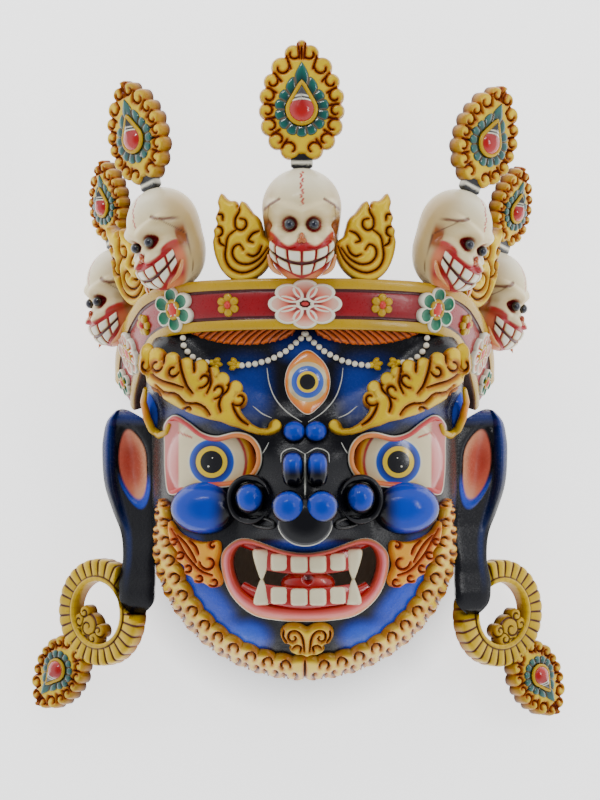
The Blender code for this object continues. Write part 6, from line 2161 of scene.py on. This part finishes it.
@dataclass
class Ears:
    """Two long-lobed ears, hollow at the concha and rolled at the rim."""

    height: float = 0.214
    top: float = 0.071
    front: float = 0.1
    thickness: float = 0.032
    sweep: float = 0.4
    outer: Table = (
        (0.0, 0.05, 0.14, 0.25, 0.37, 0.5, 0.6, 0.72, 0.86, 0.95, 1.0),
        (1.19, 1.25, 1.285, 1.29, 1.275, 1.22, 1.17, 1.155, 1.18, 1.155, 1.09),
    )
    inner: Table = (
        (0.0, 0.05, 0.14, 0.3, 0.6, 0.72, 0.86, 0.95, 1.0),
        (1.14, 1.02, 0.935, 0.93, 0.93, 0.95, 0.95, 0.97, 1.04),
    )
    rows: int = 124
    columns: int = 52

    def ear(self) -> Surface:
        """Cross sections down the ear: its face outwards and its back, with paint by place."""
        down = np.linspace(0.0, 1.0, self.rows + 2)[1:-1, None]
        across = np.linspace(0.0, 1.0, self.columns)[None, :]
        outer, inner = curve_through(*self.outer, down), curve_through(*self.inner, down)
        x = FORM.half_face * (inner + (outer - inner) * across)
        y = self.top - self.height * down * np.ones_like(across)
        plane = self.front - self.sweep * (x - FORM.half_face)
        lean = 0.35 * (down - 0.26)
        spot = np.hypot((across - 0.46 + lean) / 0.32, (down - 0.27) / 0.22)
        hollow = bump(spot)
        helix = bump((across - 0.9) / 0.16) * ramp(-down, -0.62, -0.45) + bump((down - 0.03) / 0.06)
        lobe = ramp(down, 0.55, 0.75)
        ends = np.sqrt(within(1.0 - (2.0 * down - 1.0) ** 12))
        rounding = 1.0 - 0.45 * (2.0 * across - 1.0) ** 6
        front = plane - self.thickness * (0.62 * hollow - 0.24 * helix - 0.2 * lobe)
        front = front + 4.5 * MM * ramp(down, 0.78, 0.9)
        back = plane - self.thickness * rounding
        middle, half = (front + back) / 2, (front - back) / 2 * ends * (0.55 + 0.45 * rounding)
        shell = ramp(-spot, -0.8, -0.72) * ramp(down, 0.055, 0.075)
        flesh = coats(PINK, ((0.78, 0.36, 0.2), ramp(-across, -0.7, -0.3)),
                      (ROSE, 0.6 * ramp(hollow, 0.3, 0.9)))
        paint = coats(
            paint_of(BLACK, points_of(x, y, front)),
            # Dark blue along the raised helix: painted highlight on the black.
            ((0.002, 0.022, 0.2), 0.75 * within(helix) * ramp(-down, -0.5, -0.1)),
            (NAVY, 0.7 * bump((across - 0.8) / 0.14) * bump((down - 0.62) / 0.3)),
            (ROYAL, ramp(-spot, -1.0, -0.93) * ramp(down, 0.3, 0.4)),
            (flesh, shell),
        )
        faces = points_of(x, y, middle + half), points_of(x, y, middle - half)[:, ::-1]
        loops = np.concatenate(faces, axis=1)
        colours = np.concatenate([paint, paint_of(BLACK, paint)], axis=1)
        tips = []
        for share in (0.0, 1.0):
            edges = curve_through(*self.outer, share) + curve_through(*self.inner, share)
            reach = edges / 2 * FORM.half_face
            depth = self.front - self.sweep * (reach - FORM.half_face) - self.thickness / 2
            tips.append((float(reach), self.top - self.height * share, float(depth)))
        return ringed(loops, colours, tips[0], tips[1])

    def tucked(self, surface: Surface) -> Surface:
        """The surface with what lies over an ear pushed down behind the ear's face."""
        points = surface.points.copy()
        x = np.abs(points[:, 0])
        down = (self.top - points[:, 1]) / self.height
        outer, inner = (curve_through(*edge, within(down)) for edge in (self.outer, self.inner))
        across = (x / FORM.half_face - inner) / np.maximum(outer - inner, 0.01)
        over = ramp(-across, -1.15, -0.97) * (down > 0.0) * ramp(-down, -1.03, -0.98)
        limit = self.front - self.sweep * (x - FORM.half_face) - 5.0 * MM
        points[:, 2] += over * np.minimum(limit - points[:, 2], 0.0)
        return Surface(points, surface.quads, surface.tris, surface.paint)

    def make(self, shop: Workshop) -> None:
        """Both ears."""
        shop.pair("ear_shell", self.ear(), LACQUER, "ear", crisp=70.0)


@dataclass
class Earrings:
    """Two fluted rings, each with a scroll inside it and a jewelled leaf below."""

    radius: float = 0.0442
    half_width: float = 0.0117
    thickness: float = 0.016
    flutes: int = 29
    tail: float = 0.094
    tail_thickness: float = 0.014
    trim: float = 0.003
    scroll_share: float = 0.47
    scroll_place: float = 0.4
    stands = {
        "left": ((-0.212, -0.141, 0.072), -39.0, 49.0, -1),
        "right": ((0.202, -0.142, 0.07), 37.0, 54.0, 1),
    }

    def ring(self) -> Surface:
        """A ring of gadroons: the face's height follows |sin(n a/2)|^0.6, with a smooth rod inside."""
        around = self.flutes * 12
        angles = full_turn(around)[:, None]
        lobe = np.abs(np.sin(angles * self.flutes / 2)) ** 0.55
        inner, outer = self.radius - self.half_width, self.radius + self.half_width
        share = np.array([0.0, 0.03, 0.1, 0.17, 0.22, 0.225, 0.3, 0.45, 0.62, 0.78, 0.9, 0.97, 1.0])
        plain = np.array([0.0, 1.2, 2.0, 1.9, 1.1, 0.2, 0.0, 0.0, 0.0, 0.0, -0.4, -1.6, -3.5]) * MM
        flute = np.array([0, 0, 0, 0, 0, 0, 0.9, 1.5, 1.9, 1.9, 1.6, 1.1, 0.3]) * MM
        reach = inner + (outer - inner) * share - 0.9 * MM * (1.0 - lobe) * ramp(share, 0.85, 1.0)
        z = self.thickness / 2 - 1.0 * MM + plain + flute * lobe
        x, y = polar(reach, angles)
        face = points_of(x, y, z)
        back = points_of(x, y, -self.thickness / 2)[:, ::-1][:, ::3]
        cut = (1.0 - ramp(lobe, 0.42, 0.72)) * (share > 0.23)
        line = 1.0 - ramp(np.abs(share - 0.222), 0.0, 0.02)
        # Paler gold on the gadroons' tops: painted highlight.
        paint = coats(GOLD, (HIGHLIGHT_GOLD, 0.4 * lobe + 0 * share), (UMBER, np.maximum(cut, line)))
        colours = np.concatenate([paint, paint_of(OCHRE, back)], axis=1)
        return ringed(np.concatenate([face, back], axis=1), colours, wrap=True)

    def scroll(self) -> Surface:
        """The curled cloud inside the ring."""
        r = self.radius * self.scroll_share
        curls = [Curl(0.0, 0.15 * r, 0.72 * r, 1.2, 1, 1.8), Curl(-0.62 * r, 0.35 * r, 0.42 * r, 0.3, -1),
                 Curl(0.62 * r, 0.3 * r, 0.42 * r, 2.6, 1), Curl(-0.3 * r, 0.8 * r, 0.36 * r, 0.0, 1),
                 Curl(0.34 * r, 0.78 * r, 0.36 * r, 2.0, -1), Curl(-0.66 * r, -0.2 * r, 0.36 * r, 1.0, 1),
                 Curl(0.66 * r, -0.24 * r, 0.36 * r, 2.0, -1)]
        discs = [(c.x, c.y, c.radius) for c in curls]
        scroll = Scroll(board=4.4 * MM, lobe=3.0 * MM, cut=1.8 * MM, line=1.5 * MM)

        return carved_plate((-1.2 * r, -1.2 * r), (1.2 * r, 1.3 * r), 0.5 * MM, by_discs(discs),
                            scroll.relief(curls), flat, 0.4 * self.thickness)

    def make(self, shop: Workshop) -> None:
        """Both earrings."""
        for name, (middle, turn, swing, side) in self.stands.items():
            place = turned(middle, turn, 0.0, 0.0)
            down = -swing if side > 0 else 180.0 + swing
            hang = place @ turned((0, 0, 0), 0.0, 0.0, 90.0 - down)
            reach = self.radius + self.half_width * 0.4 + self.tail * (0.095 + 0.385)
            leaf_place = hang @ turned((0.0, reach - self.tail * 0.06, 0.0), 0, 0, 0)
            scroll_place = hang @ turned((0.0, self.radius * self.scroll_place, 0.0), 0, 0, 0)
            leaf = JewelLeaf(self.tail - self.trim, self.tail_thickness)
            ring = Ears().tucked(self.ring().moved(place))
            gilt = joined([ring, self.scroll().moved(scroll_place),
                           joined([leaf.board(), leaf.bezel()]).moved(leaf_place)])
            shop.piece(f"earring_gilt_{name}", gilt, GILT, f"earring_{name}")
            shop.piece(f"earring_jewel_{name}", leaf.jewels().moved(leaf_place), JEWEL_PAINT)


# The room

@dataclass
class Studio:
    """A pale floor that glows as painted light, soft lights and a camera straight above."""

    camera_height: float = 3.0
    lens: float = 84.3
    film: float = 24.0
    zenith: float = 0.3
    horizon: float = 1.3
    glow: float = 1.6

    def floor(self) -> None:
        """A wide pale sheet that glows by its own emission as painted light, like a light table, with no
        glow under the face.
        """
        mesh = bpy.data.meshes.new("studio_floor")
        half = 6.0
        corners = [(-half, -half, 0), (half, -half, 0), (half, half, 0), (-half, half, 0)]
        mesh.from_pydata(corners, [], [(0, 1, 2, 3)])
        material = bpy.data.materials.new("studio_floor_glow")
        material.use_nodes = True
        shader = material.node_tree.nodes["Principled BSDF"]
        shader.inputs["Base Color"].default_value = (0.93, 0.93, 0.93, 1.0)
        shader.inputs["Emission Color"].default_value = (1.0, 1.0, 1.0, 1.0)
        tree = material.node_tree
        away = node_of(tree, "VectorMath", first=node_of(tree, "TexCoord").outputs["Object"])
        away.operation = "LENGTH"
        # The floor's glow is painted light: none within 0.12 m of the middle, full from 0.2 m out.
        glow = span(tree, away.outputs["Value"], 0.12, 0.2, 0.0, self.glow)
        tree.links.new(glow, shader.inputs["Emission Strength"])
        shader.inputs["Roughness"].default_value = 0.9
        mesh.materials.append(material)
        floor = bpy.data.objects.new("studio_floor", mesh)
        floor.location = (ORIGIN[0], ORIGIN[1] - 0.06, -0.0005)
        bpy.context.scene.collection.objects.link(floor)

    def light(self, name: str, place: Row, size: Row, power: float) -> None:
        """A soft rectangular light that faces the mask's middle: its -Z points along the way there."""
        data = bpy.data.lights.new(name, "AREA")
        data.shape, data.size, data.size_y, data.energy = "RECTANGLE", size[0], size[1], power
        lamp = bpy.data.objects.new(name, data)
        lamp.location = place
        x, y, z = -place[0], -place[1], 0.1 - place[2]
        lamp.rotation_euler = (math.atan2(math.hypot(x, y), -z), 0.0, math.atan2(x, -y) if x or y else 0.0)
        bpy.context.scene.collection.objects.link(lamp)

    def world(self) -> None:
        """A pale surrounding light, darker overhead so that gloss keeps its depth."""
        world = bpy.data.worlds.new("studio")
        world.use_nodes = True
        tree = world.node_tree
        back = tree.nodes["Background"]
        back.inputs["Color"].default_value = (0.96, 0.98, 1.0, 1.0)
        parts = node_of(tree, "SeparateXYZ", Vector=node_of(tree, "TexCoord").outputs["Generated"])
        strength = span(tree, parts.outputs["Z"], 0.55, 0.92, self.horizon, self.zenith)
        tree.links.new(strength, back.inputs["Strength"])
        bpy.context.scene.world = world

    def camera(self) -> None:
        """The camera, straight above and a little up from the mask's middle."""
        data = bpy.data.cameras.new("camera")
        data.lens, data.sensor_fit, data.sensor_height = self.lens, "VERTICAL", self.film
        camera = bpy.data.objects.new("camera", data)
        camera.location = (ORIGIN[0] - 0.005, ORIGIN[1] + 0.08, self.camera_height)
        bpy.context.scene.collection.objects.link(camera)
        bpy.context.scene.camera = camera

    def make(self) -> None:
        """Sets up the room."""
        self.floor()
        self.light("key_light", (-0.5, 1.5, 1.9), (1.0, 0.7), 72.0)
        self.light("fill_light", (1.3, 0.4, 1.8), (0.9, 0.9), 26.0)
        self.light("low_light", (-0.6, -1.5, 1.5), (1.2, 0.6), 18.0)
        self.world()
        self.camera()


def main() -> None:
    """Builds the room and every sub-assembly in order."""
    logging.basicConfig(level=logging.INFO, format="%(message)s")
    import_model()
    Studio().make()
    shop = Workshop()
    for part in (Head(), Eyes(), Knobs(), ThirdEye(), Mouth(), FaceGold(), Forelock(), Crown(), Skulls(),
                 Finials(), Wings(), Ears(), Earrings()):
        LOG.info("%s", type(part).__name__)
        part.make(shop)
    LOG.info("%d triangles in all", shop.triangles)


if __name__ == "__main__":
    main()
